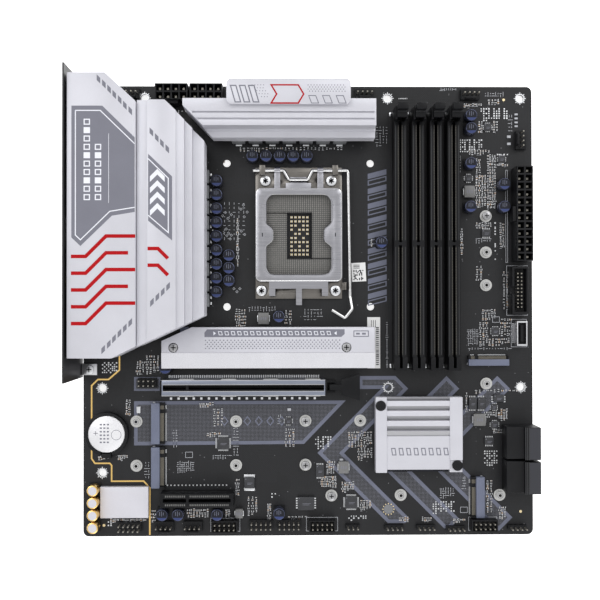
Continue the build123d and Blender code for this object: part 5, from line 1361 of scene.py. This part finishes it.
def makeAudioCans():
    bm = bmesh.new()
    foot, radius, top = audioCans["foot"], audioCans["radius"], audioCans["top"]
    for v in audioCans["rows"]:
        place = (audioCans["u"], v)
        addBlock(bm, place, (audioCans["base"], audioCans["base"]), 0.0, foot, 2)
        addPost(bm, place, radius - 0.2, foot, foot + 0.8, 0, 32)
        addPost(bm, place, radius, foot + 0.7, top, 0, 32, bevel=0.5)
        addPost(bm, place, radius - 0.75, top, top + 0.08, 1, 32)
    makePiece(bm, "audio_cans", [gold, whitePaint, blackPlastic], "board", ("audio_capacitors",),
              merge=False)


makeAudioCans()

labels = {"code": [(145.2, 96.2), (152.8, 95.8), (153.3, 106.0), (145.7, 106.4)],
          "side": rect(153.8, 125.6, 160.8, 153.4)}


def makeLabels():
    bm = bmesh.new()
    addPrism(bm, labels["code"], 0.0, 0.12, 0)
    dice = random.Random(3)
    for row in range(9):
        for column in range(9):
            if dice.random() < 0.5:
                addBlock(bm, (146.6 + 0.6 * column, 100.2 + 0.62 * row), (0.6, 0.62), 0.12, 0.15, 1)
    for k in range(3):
        addBlock(bm, (148.0, 97.3 + 0.8 * k), (3.4, 0.35), 0.12, 0.15, 1)
    addPrism(bm, labels["side"], 0.0, 0.12, 0)
    for k in range(20):
        addBlock(bm, (159.3, 131.4 + 1.05 * k), (1.5, dice.uniform(0.3, 0.7)), 0.12, 0.15, 1)
    for k in range(3):
        addBlock(bm, (156.0 + 1.1 * k, 129.2), (0.3, 4.0), 0.12, 0.15, 1)
    makePrint(bm, "labels", [paper, canDark])


makeLabels()

joints = {
    "powerPitch": 4.2, "pinPitch": 2.54, "power": (1.5, 1.2), "pin": (0.9, 0.9), "slot": (0.42, 0.5),
    "headers": [(34.8, 160.8, 4, 2), (25.3, 238.4, 5, 2), (76.5, 237.8, 5, 2), (96.1, 237.5, 5, 2),
                (111.1, 237.5, 5, 2), (128.9, 237.7, 5, 2), (145.5, 238.9, 3, 1), (167.9, 239.3, 4, 1),
                (185.1, 239.3, 4, 1), (201.2, 239.9, 4, 1), (216.3, 237.9, 5, 2), (234.8, 239.6, 4, 1),
                (25.6, 4.4, 4, 1), (152.2, 4.4, 4, 1), (209.8, 4.7, 4, 1), (237.4, 29.4, 1, 4),
                (43.9, 238.3, 4, 1), (59.3, 238.3, 4, 1)],
    "patches": [(104.0, 68.0, 129.0, 94.0, 90), (60.0, 30.0, 90.0, 130.0, 60), (96.0, 14.0, 140.0, 30.0, 40),
                (160.0, 172.0, 202.0, 206.0, 70), (40.0, 175.0, 150.0, 215.0, 60),
                (206.0, 20.0, 232.0, 90.0, 60)]}


def addJoint(bm, u, v, radius, reach):
    place = Matrix.Translation(at(u, v, solderSide - reach / 2))
    bmesh.ops.create_cone(bm, cap_ends=True, segments=8, radius1=radius * 0.3 * mm, radius2=radius * mm,
                          depth=reach * mm, matrix=place)


def makeSolder():
    bm = bmesh.new()
    power, pin = joints["powerPitch"], joints["pinPitch"]
    for column in range(2):
        for row in range(12):
            addJoint(bm, 238.99 - power * column, 47.2 + power * row, *joints["power"])
    for start in (42.6, 61.0):
        for column in range(4):
            for row in range(2):
                addJoint(bm, start + power * column, 3.5 + power * row, *joints["power"])
    for u, v, columns, rows in joints["headers"]:
        for acrossU in centred(columns, pin):
            for acrossV in centred(rows, pin):
                addJoint(bm, u + acrossU, v + acrossV, *joints["pin"])
    for slot in range(4):
        for side in (-1, 1):
            for k in range(72):
                u = memory["first"] + memory["pitch"] * slot + side * (1.9 + 0.8 * (k % 2))
                addJoint(bm, u, 23.0 + 1.7 * k, *joints["slot"])
    for length, v in ((84, express["long"][1]), (34, express["short"][1])):
        for k in range(length // 2):
            for side in (-1, 1):
                addJoint(bm, 45.0 + 2.0 * k, v + side * (1.4 + 1.0 * (k % 2)), *joints["slot"])
    makePiece(bm, "solder_joints", [solder])
    bm = bmesh.new()
    dice = random.Random(11)
    for lowU, lowV, highU, highV, count in joints["patches"]:
        for k in range(count):
            u, v = dice.uniform(lowU, highU), dice.uniform(lowV, highV)
            length, width = dice.choice([(1.0, 0.5), (1.6, 0.8)])
            addBlock(bm, (u, v), (length - 0.5, width), solderSide - 0.4, solderSide, 1)
            for side in (-1, 1):
                addBlock(bm, (u + side * (length / 2 - 0.14), v), (0.3, width), solderSide - 0.43,
                         solderSide, 0)
    makePrint(bm, "underside_parts", [tin, ceramicTan])


makeSolder()
print("solder side made")


def makeFloor():
    bm = bmesh.new()
    bmesh.ops.create_grid(bm, x_segments=1, y_segments=1, size=3.0)
    bmesh.ops.translate(bm, verts=bm.verts, vec=(0, 0, -0.0005))
    mesh = bpy.data.meshes.new("floor")
    bm.to_mesh(mesh)
    bm.free()
    floor = bpy.data.objects.new("floor", mesh)
    bpy.context.scene.collection.objects.link(floor)
    paperFloor = grainFinish("floor_paper", (0.93, 0.93, 0.93), 0.85, 0.0, 40, 0.005, 0.02, 0.02)
    shader = paperFloor.node_tree.nodes["Principled BSDF"]
    shader.inputs["Emission Color"].default_value = (1.0, 1.0, 1.0, 1.0)
    shader.inputs["Emission Strength"].default_value = studio["floorGlow"]
    mesh.materials.append(paperFloor)


studio = {"worldStrength": 0.92, "floorGlow": 0.75, "worldLow": (0.80, 0.80, 0.82),
          "worldHigh": (1.0, 1.0, 1.0),
          "softboxes": [((-0.9, 0.7, 1.5), 1.1, 8.0), ((0.9, 0.9, 1.4), 0.9, 7.0),
                        ((0.2, -1.3, 1.2), 0.9, 5.5)]}


def makeStudio():
    world = bpy.data.worlds.new("studio")
    bpy.context.scene.world = world
    world.use_nodes = True
    tree = world.node_tree
    back = tree.nodes["Background"]
    place = addNode(tree, "ShaderNodeTexCoord")
    axes = addNode(tree, "ShaderNodeSeparateXYZ")
    tree.links.new(place.outputs["Generated"], axes.inputs["Vector"])
    height = Field(tree, axes.outputs["Z"])
    feed(tree, back.inputs["Color"], rampOf(tree, height, (0.0, studio["worldLow"]),
                                            (0.7, studio["worldHigh"])))
    back.inputs["Strength"].default_value = studio["worldStrength"]
    for number, (place, size, power) in enumerate(studio["softboxes"]):
        light = bpy.data.lights.new(f"softbox_{number}", "AREA")
        light.size = size
        light.energy = power
        box = bpy.data.objects.new(f"softbox_{number}", light)
        box.location = place
        box.rotation_euler = (-Vector(place)).to_track_quat("-Z", "Y").to_euler()
        bpy.context.scene.collection.objects.link(box)


view = {"place": (-0.01066, 0.00006, 0.51397), "turn": (0.5008, -0.8278, -0.0849), "lens": 56.326}


def makeCamera():
    lens = bpy.data.cameras.new("camera")
    lens.lens = view["lens"]
    lens.sensor_width = 36.0
    lens.clip_start = 0.01
    camera = bpy.data.objects.new("camera", lens)
    camera.location = view["place"]
    camera.rotation_euler = [math.radians(a) for a in view["turn"]]
    bpy.context.scene.collection.objects.link(camera)
    bpy.context.scene.camera = camera


makeFloor()
makeStudio()
makeCamera()
bpy.context.scene.view_settings.view_transform = "Standard"
print("stage set")
